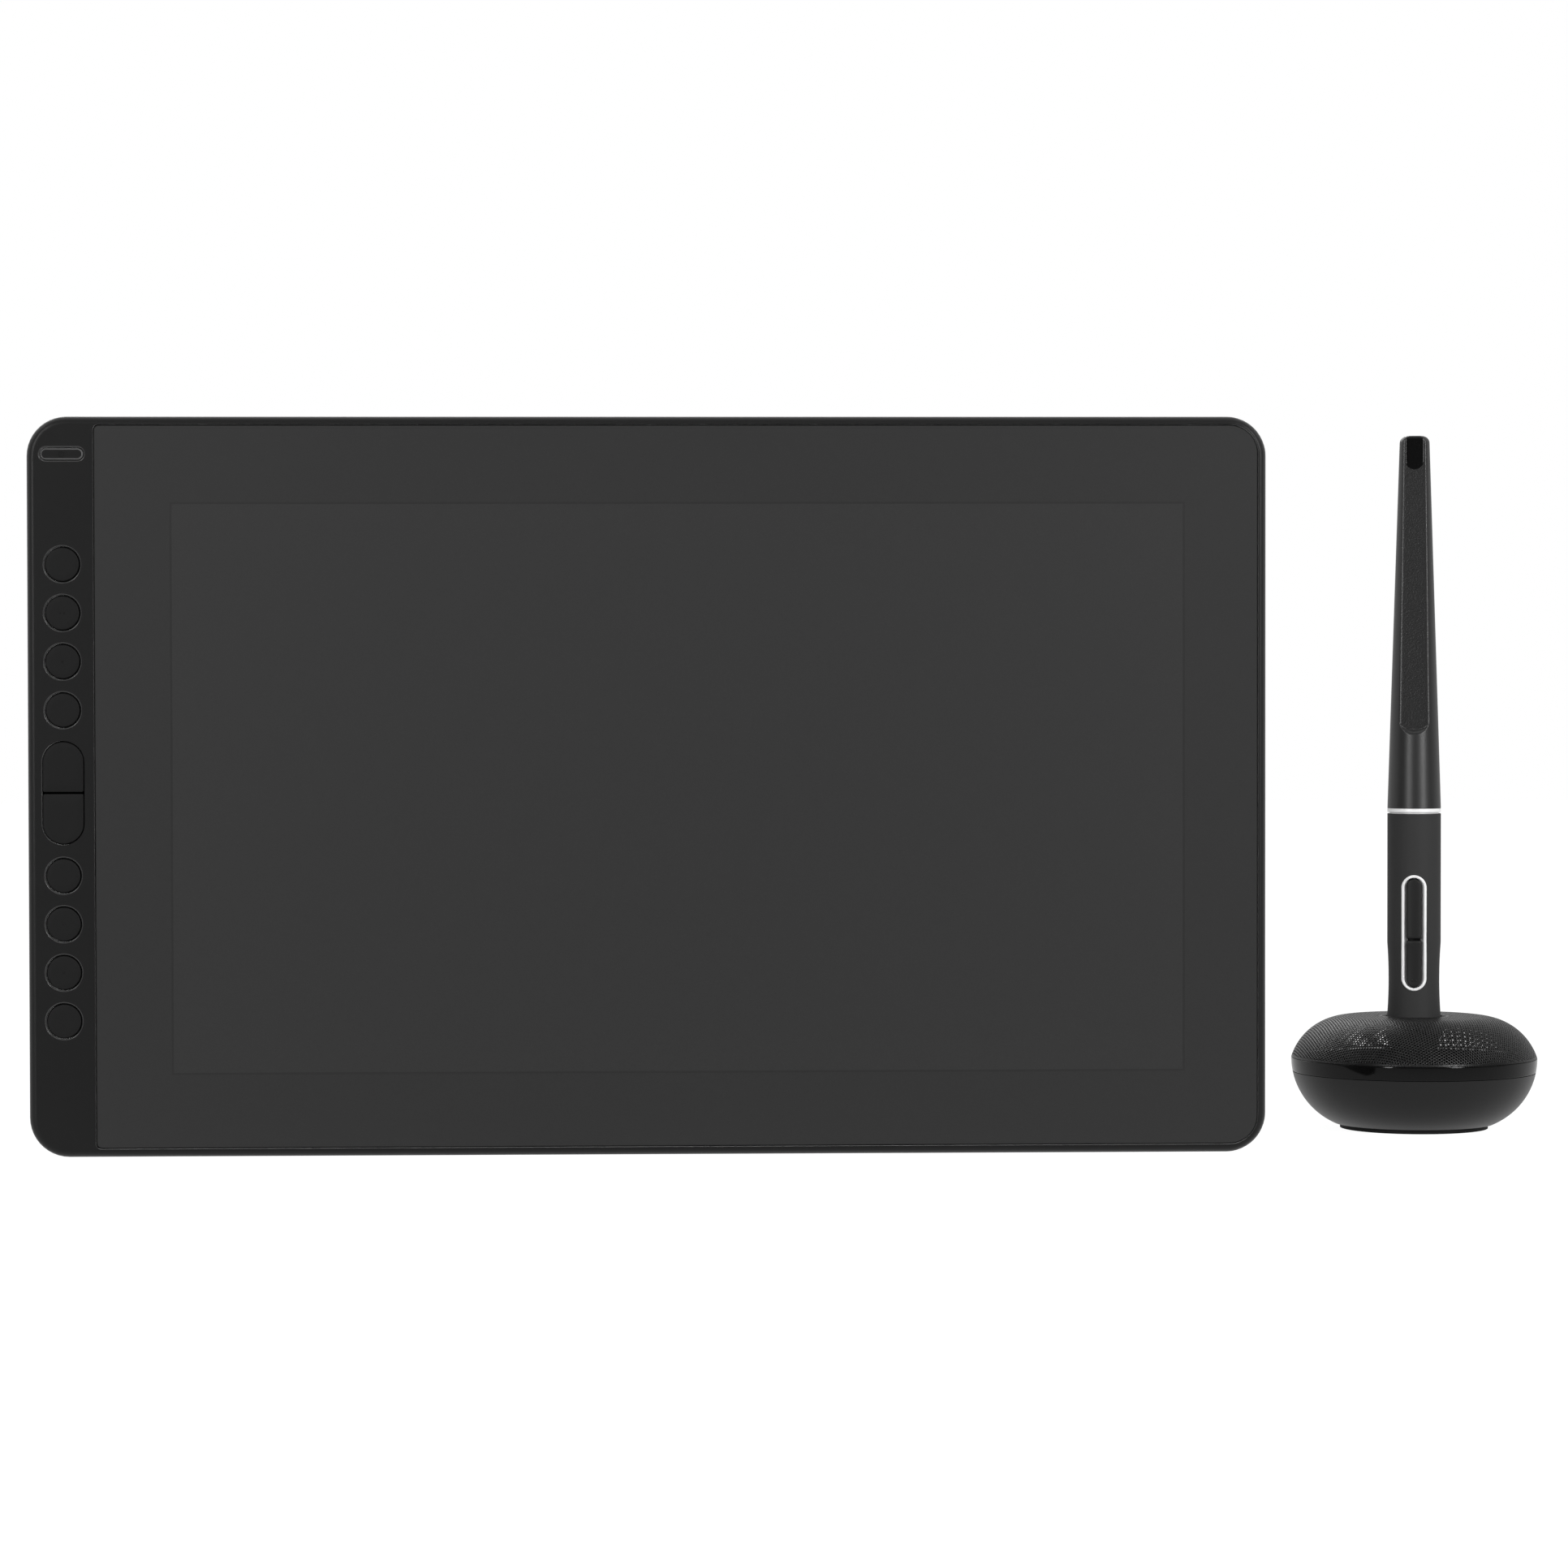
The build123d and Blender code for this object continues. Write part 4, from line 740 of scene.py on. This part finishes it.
# Band: piano-black locking ring between bowl and dome, moulded, with three lugs inside that turn in
# the bowl. Its outside lies on the bowl's arc and its lower edge is rounded, which leaves a fine
# groove.
band_low, band_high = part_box("stand_band")
band_wall, shell_r = 0.0028, 0.022
rim_r = (band_high.x - band_low.x) / 2
band_inner_r = rim_r - band_wall
band_low_round, band_top_round = 0.0005, 0.00015
lug_low, lug_high, lug_reach, lug_root = 0.0008, 0.0018, 0.003, 0.0006
lug_arc, lug_sides = radians(12), 12
band_gloss = finish(
    "piano_black", ink(10), roughness=0.1, grain=0.002, relief=0.0, tone=0.1, specular=0.25
)


def turned(name, profile, material, start=0.0, sweep=2 * np.pi, sides=192, sharp=35):
    """Closed profile of (radius, height) points carried round the holder's upright axis, all the
    way or part of it. The profile runs anticlockwise with the radius to the right, so that its
    faces point out."""
    whole = np.isclose(sweep, 2 * np.pi)
    angle = start + sweep * (np.arange(sides) / sides if whole else np.linspace(0, 1, sides))
    radius, height = profile[:, :1], profile[:, 1:]
    points = np.stack(
        [axis_x + radius * np.cos(angle), axis_y + radius * np.sin(angle), height + 0 * angle], -1
    )
    faces = grid_faces(len(profile), sides, close_rows=True, close_columns=whole).tolist()
    if not whole:
        first = np.arange(len(profile)) * sides
        faces += [first.tolist(), (first[::-1] + sides - 1).tolist()]
    return skin(name, points, faces, material, sharp)


def corner_arc(middle, round_r, start, end, steps=6):
    """Points on a small arc in a profile, between two angles in degrees."""
    turn = np.radians(np.linspace(start, end, steps))
    return np.stack([middle[0] + round_r * np.cos(turn), middle[1] + round_r * np.sin(turn)], -1)


def shell_radius(height):
    """Radius of the outside of bowl and band at a height: one arc whose widest point is the rim."""
    return rim_r - shell_r + np.sqrt(shell_r**2 - (band_high.z - height) ** 2)


side_heights = np.linspace(band_low.z + band_low_round, band_high.z - band_top_round, 14)
low_corner = shell_radius(side_heights[0]) - band_low_round, side_heights[0]
top_corner = rim_r - band_top_round, side_heights[-1]
band_profile = np.concatenate(
    [
        corner_arc(low_corner, band_low_round, -90, 0, steps=8),
        np.stack([shell_radius(side_heights), side_heights], -1)[1:-1],
        corner_arc(top_corner, band_top_round, 0, 90, steps=4),
        [(band_inner_r, band_high.z), (band_inner_r, band_low.z)],
    ]
)
band = turned("locking_band", band_profile, band_gloss)
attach(band, "band")
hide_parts("stand_band")
lug_profile = np.array(
    [
        (band_inner_r - lug_reach, band_low.z + lug_low),
        (band_inner_r + lug_root, band_low.z + lug_low),
        (band_inner_r + lug_root, band_low.z + lug_high),
        (band_inner_r - lug_reach, band_low.z + lug_high),
    ]
)
for number in range(3):
    name = "band_lug_" + str(number + 1)
    start = number * 2 * np.pi / 3
    lug = turned(name, lug_profile, band_gloss, start, sweep=lug_arc, sides=lug_sides)
    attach(lug, "band")

# Dome: steel sheet pierced with a close triangular pattern of fine holes, pressed to shape and
# coated black. It is one sheet on the real holder; here its front and back halves are two pieces
# that meet hole to hole, with a plain hem at the rim and a plain collar round the pen.
dome_top_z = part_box("stand_mesh_top")[1].z
flat_r, collar_r = 0.0201, 0.0113
hole_pitch, hole_r = 0.00095, 0.00032
sheet_t, sheet_sharp = 0.00025, 50
edge_room_share = 0.6
reach = rim_r - flat_r
drop = dome_top_z - band_high.z
press_r = (reach**2 + drop**2) / (2 * drop)
press_angle = np.arccos((press_r - drop) / press_r)
sheet_reach = flat_r + press_r * press_angle
mesh_coat = finish(
    "mesh_coat", ink(16), roughness=0.3, grain=0.0002, relief=0.000004, tone=0.1, specular=0.36
)


def pressed(across, along):
    """Flat blank to dome: a point's distance from the middle is its way along the flat and then
    round the press radius, and its direction from the middle stays."""
    distance = np.hypot(across, along)
    bend = np.clip((distance - flat_r) / press_r, 0, None)
    radius = np.minimum(distance, flat_r) + press_r * np.sin(bend)
    height = dome_top_z - press_r * (1 - np.cos(bend))
    direction = np.arctan2(along, across)
    x, y = axis_x + radius * np.cos(direction), axis_y + radius * np.sin(direction)
    return np.stack([x, y, height], -1)


# Each hole has a cell of six sides round it, and the cells share their corners.
row_step = hole_pitch * np.sqrt(3) / 2
rows = int(sheet_reach / row_step) + 1
row, column = np.mgrid[-rows:rows + 1, -rows:rows + 1]
cell_x = row * row_step
cell_y = (column + 0.5 * (row % 2)) * hole_pitch
distance = np.hypot(cell_x, cell_y)
edge_room = edge_room_share * hole_pitch
kept = (distance < sheet_reach - edge_room) & (distance > collar_r - edge_room)
cell_x, cell_y = cell_x[kept], cell_y[kept]
corner = np.arange(6)
spoke = np.stack([np.cos(corner * radians(60)), np.sin(corner * radians(60))], -1)[None]
for name, half in (("front", cell_y < 0), ("back", cell_y >= 0)):
    centre = np.stack([cell_x[half], cell_y[half]], -1)[:, None, :]
    flat = np.concatenate([centre + hole_pitch / np.sqrt(3) * spoke, centre + hole_r * spoke], 1)
    points = pressed(flat[..., 0], flat[..., 1])
    start = flat.shape[1] * np.arange(len(flat))[:, None]
    near, far = start + corner, start + (corner + 1) % 6
    quads = np.stack([near, far, far + 6, near + 6], -1).reshape(-1, 4)
    sheet = skin("mesh_dome_" + name, points, quads, mesh_coat, sharp=sheet_sharp)
    wall = sheet.modifiers.new("sheet", "SOLIDIFY")
    wall.thickness = sheet_t
    wall.offset = -1
    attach(sheet, "lid")
    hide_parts("stand_mesh_top")

hem_w, hem_gap = 0.0007, 0.00004
inner_press = press_r - sheet_t
hem_end = np.arccos((press_r - drop + hem_gap) / inner_press)
hem_bend = np.linspace(hem_end - hem_w / press_r, hem_end, 4)
hem_out, hem_in = (
    np.stack(
        [flat_r + radius * np.sin(hem_bend), dome_top_z - press_r + radius * np.cos(hem_bend)], -1
    )
    for radius in (press_r, inner_press)
)
hem = turned("dome_hem", np.concatenate([hem_out[::-1], hem_in]), mesh_coat)
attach(hem, "lid")
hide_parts("stand_mesh_top")
collar_inner_r, collar_cut = 0.00985, 0.00005
collar_profile = np.array(
    [
        (collar_inner_r, dome_top_z - sheet_t),
        (collar_r, dome_top_z - sheet_t),
        (collar_r, dome_top_z - collar_cut),
        (collar_r - collar_cut, dome_top_z),
        (collar_inner_r, dome_top_z),
    ]
)
collar = turned("dome_collar", collar_profile, mesh_coat)
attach(collar, "lid")
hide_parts("stand_mesh_top")

# Pen grip: soft rubber sleeve, waisted above its flared foot, with a slot for the bezel.
# The pen stands turned a little, so that its buttons face the viewer.
pen_turn = radians(9.7)
pen_across = np.array((np.cos(pen_turn), -np.sin(pen_turn), 0))
pen_front = np.array((-np.sin(pen_turn), -np.cos(pen_turn), 0))
grip_low, grip_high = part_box("pen_grip")
grip_line = np.array(((0.0083, 0.0), (0.0078, 0.14), (0.00817, 0.38)))
grip_rubber = finish(
    "grip_rubber", ink(52), roughness=0.6, grain=0.00025, relief=0.00003, tone=0.08, specular=0.2
)
dress(grip_rubber, "pen_grip")


def on_pen(across, front, height):
    """Points beside the pen's axis, from their distance across it and in front of it and their
    height."""
    across, front, height = (
        part[..., None] for part in np.broadcast_arrays(across, front, height)
    )
    foot = np.array((axis_x, axis_y, 0))
    return foot + across * pen_across + front * pen_front + height * np.array((0, 0, 1))


def grip_radius(height):
    """Radius of the sleeve: the circle through foot, waist and shoulder up to the shoulder, then
    straight."""
    radius = grip_line[:, 0]
    level = grip_low.z + grip_line[:, 1] * (grip_high.z - grip_low.z)
    lines = 2 * np.stack([np.diff(radius), np.diff(level)], -1)
    centre = np.linalg.solve(lines, np.diff(radius**2 + level**2))
    bow = np.hypot(radius[0] - centre[0], level[0] - centre[1])
    below = np.minimum(height, level[2])
    return centre[0] - np.sqrt(bow**2 - (below - centre[1]) ** 2)


# Bezel: plated oval ring set in the sleeve round the side buttons, half round in section.
# Its straight root goes down into the slot. It is drawn near-white and almost matt, which is a
# painted reflection of a bright surround in place of a chrome mirror.
bezel_low, bezel_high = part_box("button_bezel")
bezel_w, bezel_bar = 0.0076, 0.00083
bezel_h = bezel_high.z - bezel_low.z
bezel_z = (bezel_low.z + bezel_high.z) / 2
bezel_rise, bezel_root = 0.0003, 0.0028
bezel_sides = 160
# Near-white, nearly matt paint: a painted reflection that stands in for the chrome's mirror.
chrome_reflection_paint = finish(
    "chrome_painted_reflection",
    (0.97, 0.97, 0.97),
    roughness=0.3,
    grain=0.001,
    relief=0.0,
    tone=0.02,
    specular=0.9,
    metallic=0.05,
)
section_turn = np.linspace(0, np.pi, 9)
section_inset = np.concatenate([[0], bezel_bar / 2 * (1 - np.cos(section_turn)), [bezel_bar]])
section_rise = np.concatenate([[-bezel_root], bezel_rise * np.sin(section_turn), [-bezel_root]])
oval = stadium(bezel_w, bezel_h, bezel_sides)
ovals = np.array([inset_outline(oval, inset) for inset in section_inset])
oval_z = bezel_z + ovals[..., 1]
oval_turn = np.arcsin(ovals[..., 0] / grip_radius(oval_z))
oval_r = grip_radius(oval_z) + section_rise[:, None]
points = on_pen(oval_r * np.sin(oval_turn), oval_r * np.cos(oval_turn), oval_z)
bezel_faces = grid_faces(len(section_inset), bezel_sides, close_rows=True)
bezel = skin("oval_bezel", points, bezel_faces, chrome_reflection_paint)
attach(bezel, "pen")
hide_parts("button_bezel")

# Side buttons: two satin caps inside the bezel, moulded and bent to the sleeve, each with a soft
# edge all round. The lower one has two small raised dots side by side, for the finger to find.
button_w, button_proud, button_edge, button_corner = 0.00455, 0.0003, 0.0004, 0.0003
button_depth, button_reach, button_sharp = 0.0018, 0.00015, 60
switch_dots = {"upper": (), "lower": ((-0.0005, 0.0458), (0.0005, 0.0458))}
button_satin = finish(
    "button_satin",
    ink(30),
    roughness=0.45,
    grain=0.0002,
    relief=0.000006,
    tone=0.06,
    specular=0.25,
)


def soft_cap(length, half, edge, root, corner, rows=36, columns=25):
    """Grid over the way along a cap and the way across it, from its round end to its flat end. The
    half width is that of a circle at the round end and of small corners at the flat one. The height
    falls in a quarter circle within edge of the outline, and the rim drops to root behind it. Gives
    across, way and height."""
    lead = half * (1 - np.cos(np.linspace(0, np.pi / 2, 14)))
    tail = length - corner * (1 - np.cos(np.linspace(np.pi / 2, 0, 8)))
    way = np.concatenate([lead, np.linspace(half, length - corner, rows)[1:-1], tail])[:, None]
    at_end = np.clip(way - length + corner, 0, None)
    width = np.sqrt(half**2 - np.clip(half - way, 0, None) ** 2)
    width = width - corner + np.sqrt(corner**2 - at_end**2)
    across = width * np.sin(np.linspace(-np.pi / 2, np.pi / 2, columns))[None, :]
    inside = half - np.where(way > half, np.abs(across), np.hypot(across, way - half))
    inside = np.minimum(inside, length - way)
    short = np.clip(edge - inside, 0, edge)
    rise = np.sqrt(edge**2 - short**2) - edge
    across = np.pad(across, 1, mode="edge")
    rise = np.pad(rise, 1, constant_values=-root)
    way = np.pad(way, ((1, 1), (0, 0)), mode="edge") + 0 * across
    return across, way, rise


def on_sleeve(x, z, lift):
    """Points on the sleeve, bent round it, from the way across its front, their height and their
    lift."""
    radius = grip_radius(z) + button_proud + lift
    turn = x / grip_radius(z)
    return on_pen(radius * np.sin(turn), radius * np.cos(turn), z)


for name, side in (("upper", 1), ("lower", -1)):
    low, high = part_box("side_button_" + name)
    length = high.z - low.z + button_reach
    across, way, rise = soft_cap(length, button_w / 2, button_edge, button_depth, button_corner)
    grids = [(side * across, high.z - way if side > 0 else low.z + way, rise)]
    grids += [ring_grid(dot_rings(x, z)) for x, z in switch_dots[name]]
    points, faces = stack_grids(grids, on_sleeve)
    cap = skin("side_cap_" + name, points, faces, button_satin, sharp=button_sharp, fill=True)
    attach(cap, "pen_button_" + name)
    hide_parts("side_button_" + name)

# Ring between grip and barrel: turned, plated, on a narrower neck that shows as a dark line below
# it. Its outer edges are rounded. Its near-white colour, like the bezel's, is a painted reflection.
ring_low, ring_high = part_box("pen_ring")
ring_r = (ring_high.x - ring_low.x) / 2
ring_wall, ring_h, ring_round, ring_sharp = 0.0016, 0.00125, 0.00025, 50
neck_step = 0.0007
ring_foot_z = ring_high.z - ring_h
corner_r = ring_r - ring_round
ring_profile = np.concatenate(
    [
        [(ring_r - ring_wall, ring_low.z), (ring_r - neck_step, ring_low.z)],
        [(ring_r - neck_step, ring_foot_z)],
        corner_arc((corner_r, ring_foot_z + ring_round), ring_round, -90, 0),
        corner_arc((corner_r, ring_high.z - ring_round), ring_round, 0, 90),
        [(ring_r - ring_wall, ring_high.z)],
    ]
)
ring = turned("plated_ring", ring_profile, chrome_reflection_paint, sharp=ring_sharp)
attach(ring, "pen")
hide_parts("pen_ring")

# Barrel: tapered satin shell with a long flat cut into its front, which ends below in a rounded
# scoop. The flat has a coarser grain than the rest, and fine bright edges.
barrel_low, barrel_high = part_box("pen_barrel")
barrel_foot_r, barrel_top_r, barrel_end_r = 0.00817, 0.0045, 0.0022
barrel_foot_share, barrel_sharp, barrel_merge = 0.6, 50, 1e-7
facet_len, facet_sink, facet_half, facet_edge = 0.0917, 0.00145, 0.004575, 0.00012
facet_low_z = barrel_high.z - facet_len
scoop_run, scoop_below, scoop_above, scoop_power = 0.0022, 0.001, 0.0065, 2.5
close_share, near_share = 0.85, 1.15
side_limit, power_limit, mark_edges, no_flat = 0.2, 60, 3, 1.0
barrel_taper = (barrel_foot_r - barrel_top_r) / (barrel_high.z - barrel_low.z)
flat_grain, flat_patch, flat_relief = 0.0005, 0.004, 0.00006
flat_grey, flat_rough = 26, 0.3


def barrel_radius(height):
    """Radius of the barrel's cone at a height, without its rounded end."""
    return barrel_top_r + (barrel_high.z - height) * barrel_taper


def barrel_grid():
    """Radius of the barrel on a grid of directions and heights: the cone, rounded at its end, or
    the flat where that lies deeper. Columns follow the flat's edge and are closest there. A soft
    minimum of the two rounds the edge, and the scoop falls off quickly from the flat's round lower
    end. Gives direction, height, radius and how far a point is on the flat, from 0 to 1."""
    height = np.concatenate(
        [
            np.linspace(barrel_low.z, facet_low_z - scoop_below, 12),
            np.linspace(facet_low_z - scoop_below, facet_low_z + scoop_above, 52)[1:],
            np.linspace(facet_low_z + scoop_above, barrel_high.z - barrel_end_r, 60)[1:],
        ]
    )
    end_turn = np.linspace(0, np.pi / 2, 14)[1:]
    end_cone = barrel_radius(height[-1]) - barrel_end_r * (1 - np.cos(end_turn))
    cone = np.concatenate([barrel_radius(height), end_cone])[:, None]
    height = np.concatenate([height, height[-1] + barrel_end_r * np.sin(end_turn)])[:, None]
    full = barrel_radius(height)
    edge_turn = np.arccos(1 - facet_sink / full)
    share = np.concatenate(
        [
            np.linspace(0, close_share, 24),
            np.linspace(close_share, near_share, 16)[1:],
            np.linspace(near_share, np.pi / edge_turn.mean(), 36)[1:],
        ]
    )
    share = np.concatenate([-share[:0:-1], share[:-1]])[None, :]
    rest = (np.abs(share) - near_share) / (np.abs(share).max() - near_share)
    near_turn = near_share * edge_turn
    far = np.sign(share) * (near_turn + rest * (np.pi - near_turn))
    turn = np.where(np.abs(share) <= near_share, share * edge_turn, far)
    across = full * np.sin(turn)
    rise = height - facet_low_z
    from_end = np.hypot(across, rise - facet_half)
    inside = facet_half - np.where(rise > facet_half, np.abs(across), from_end)
    sunk = facet_sink * (1 - (1 - np.clip(inside / scoop_run, 0, 1)) ** scoop_power)
    front = np.cos(turn)
    facing_front = np.maximum(front, side_limit)
    flat = np.where(front > side_limit, (full - facet_sink) / facing_front, no_flat)
    power = np.clip((cone - flat) / facet_edge, -power_limit, power_limit)
    depth = facet_edge * np.log1p(np.exp(power))
    depth = np.where(rise > 2 * facet_half, depth, np.minimum(depth, sunk / facing_front))
    depth = np.where((rise < 0) | (front < side_limit), 0, depth)
    flatness = np.clip(depth / facet_edge / mark_edges, 0, 1)
    return turn, height + 0 * turn, cone - depth, flatness


def barrel_finish():
    """Satin on the cone and a darker, coarser grain on the flat, told apart by the piece's own
    mark."""
    material = finish(
        "barrel_satin",
        ink(29),
        roughness=0.38,
        grain=casing_grain,
        relief=0.00001,
        tone=0.05,
        specular=0.7,
    )
    tree = material.node_tree
    shader = tree.nodes["Principled BSDF"]
    mark = tree.nodes.new("ShaderNodeAttribute")
    mark.attribute_name = "flat"
    coarse = tree.nodes.new("ShaderNodeGroup")
    coarse.node_tree = moulded_grain
    coarse.inputs["Grain"].default_value = flat_grain
    coarse.inputs["Patch"].default_value = flat_patch
    pits = tree.nodes.new("ShaderNodeBump")
    pits.inputs["Distance"].default_value = flat_relief
    rougher = tree.nodes.new("ShaderNodeMix")
    rougher.inputs["B"].default_value = flat_rough
    base, rough, normal = (
        shader.inputs[name].links[0].from_socket for name in ("Base Color", "Roughness", "Normal")
    )
    on_flat = mark.outputs["Fac"]
    join_nodes(
        tree,
        (mix_colours(tree, on_flat, base, ink(flat_grey)), shader.inputs["Base Color"]),
        (on_flat, rougher.inputs["Factor"]),
        (rough, rougher.inputs["A"]),
        (rougher.outputs["Result"], shader.inputs["Roughness"]),
        (on_flat, pits.inputs["Strength"]),
        (coarse.outputs["Height"], pits.inputs["Height"]),
        (normal, pits.inputs["Normal"]),
        (pits.outputs["Normal"], shader.inputs["Normal"]),
    )
    return material


turn, height, radius, flatness = barrel_grid()
across, front = radius * np.sin(turn), radius * np.cos(turn)
points = np.concatenate(
    [
        on_pen(0 * across[:1], 0, height[:1]),
        on_pen(barrel_foot_share * across[:1], barrel_foot_share * front[:1], height[:1]),
        on_pen(across, front, height),
        on_pen(0 * across[-1:], 0, height[-1:]),
    ]
)
flatness = np.concatenate([0 * flatness[:2], flatness, flatness[-1:]])
barrel_mesh = bpy.data.meshes.new("tapered_barrel")
barrel_faces = grid_faces(*flatness.shape)
barrel_mesh.from_pydata(points.reshape(-1, 3).tolist(), [], barrel_faces.tolist())
flat_mark = barrel_mesh.attributes.new("flat", "FLOAT", "POINT")
flat_mark.data.foreach_set("value", flatness.astype(np.float32).ravel())
merged = bmesh.new()
merged.from_mesh(barrel_mesh)
bmesh.ops.remove_doubles(merged, verts=merged.verts, dist=barrel_merge)
bmesh.ops.recalc_face_normals(merged, faces=merged.faces)
merged.to_mesh(barrel_mesh)
merged.free()
barrel_mesh.shade_smooth()
barrel_mesh.set_sharp_from_angle(angle=radians(barrel_sharp))
barrel_mesh.materials.append(barrel_finish())
barrel = bpy.data.objects.new("tapered_barrel", barrel_mesh)
scene.collection.objects.link(barrel)
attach(barrel, "pen")
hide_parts("pen_barrel")

# End insert: glossy black tongue let into the flat, which bends over the pen's end.
# Its lower end is round and its long edges are rounded.
insert_half, insert_len, insert_edge, insert_sharp = 0.0029, 0.0103, 0.00035, 60
insert_proud, insert_bend, insert_back, insert_root = 0.00016, 0.0007, 0.0036, 0.0008
gloss_insert = finish("gloss_insert", ink(6), roughness=0.1, grain=0.001, relief=0.0, specular=0.5)


def tongue(columns=25):
    """Grid over the way along the tongue and the way across it. The way runs up the flat, round the
    bend and back over the end; the width is that of a round lower end, and the height falls in a
    quarter circle at the edge. Sides and lower end drop to the root, and nothing stands above the
    barrel's rounded end."""
    straight = insert_len - insert_bend
    bend = insert_bend * np.pi / 2
    way = np.concatenate(
        [
            insert_half * (1 - np.cos(np.linspace(0, np.pi / 2, 14))),
            np.linspace(insert_half, straight, 14)[1:],
            straight + np.linspace(0, bend, 9)[1:],
            straight + bend + np.linspace(0, insert_back, 5)[1:],
        ]
    )[:, None]
    half = np.sqrt(insert_half**2 - np.clip(insert_half - way, 0, None) ** 2)
    across = half * np.sin(np.linspace(-np.pi / 2, np.pi / 2, columns))[None, :]
    from_end = np.hypot(across, way - insert_half)
    inside = insert_half - np.where(way > insert_half, np.abs(across), from_end)
    short = np.clip(insert_edge - inside, 0, insert_edge)
    rise = insert_proud - insert_edge + np.sqrt(np.clip(insert_edge**2 - short**2, 0, None))
    across = np.pad(across, ((1, 0), (1, 1)), mode="edge")
    rise = np.pad(rise, ((1, 0), (1, 1)), constant_values=-insert_root)
    way = np.pad(way, ((1, 0), (0, 0)), mode="edge")
    turned_by = np.clip((way - straight) / insert_bend, 0, np.pi / 2)
    beyond = np.clip(way - straight - bend, 0, None)
    flat_z = barrel_high.z - insert_len + np.minimum(way, straight)
    front = barrel_radius(flat_z) - facet_sink - insert_bend * (1 - np.cos(turned_by)) - beyond
    front = front + rise * np.cos(turned_by)
    height = flat_z - insert_proud + (insert_bend + rise) * np.sin(turned_by)
    past = np.clip(np.hypot(across, front) - barrel_top_r + barrel_end_r, 0, barrel_end_r)
    crown = barrel_high.z + insert_proud / 2 - barrel_end_r + np.sqrt(barrel_end_r**2 - past**2)
    return on_pen(across, front, np.minimum(height, crown))


points = tongue()
tongue_faces = grid_faces(*points.shape[:2])
insert = skin("end_tongue", points, tongue_faces, gloss_insert, sharp=insert_sharp, fill=True)
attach(insert, "pen")
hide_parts("pen_end_insert")

# Inside the pen: nose cone round the nib, pressure sensor behind it and antenna coil round it.
# The nose shows below the grip, and the other two only when the pen comes apart.
nose_satin = finish(
    "nose_satin", ink(36), roughness=0.5, grain=0.0002, relief=0.00001, tone=0.06
)
dress(nose_satin, "pen_nose")
dress_rows(
    ("sensor_can", (0.6, 0.6, 0.6), 0.3, 0.0002, 0.000005, 0.3, 1.0, "pressure_sensor"),
    ("enamelled_copper", (0.5, 0.2, 0.08), 0.3, 0.00015, 0.00003, 0.3, 1.0, "pen_coil"),
)
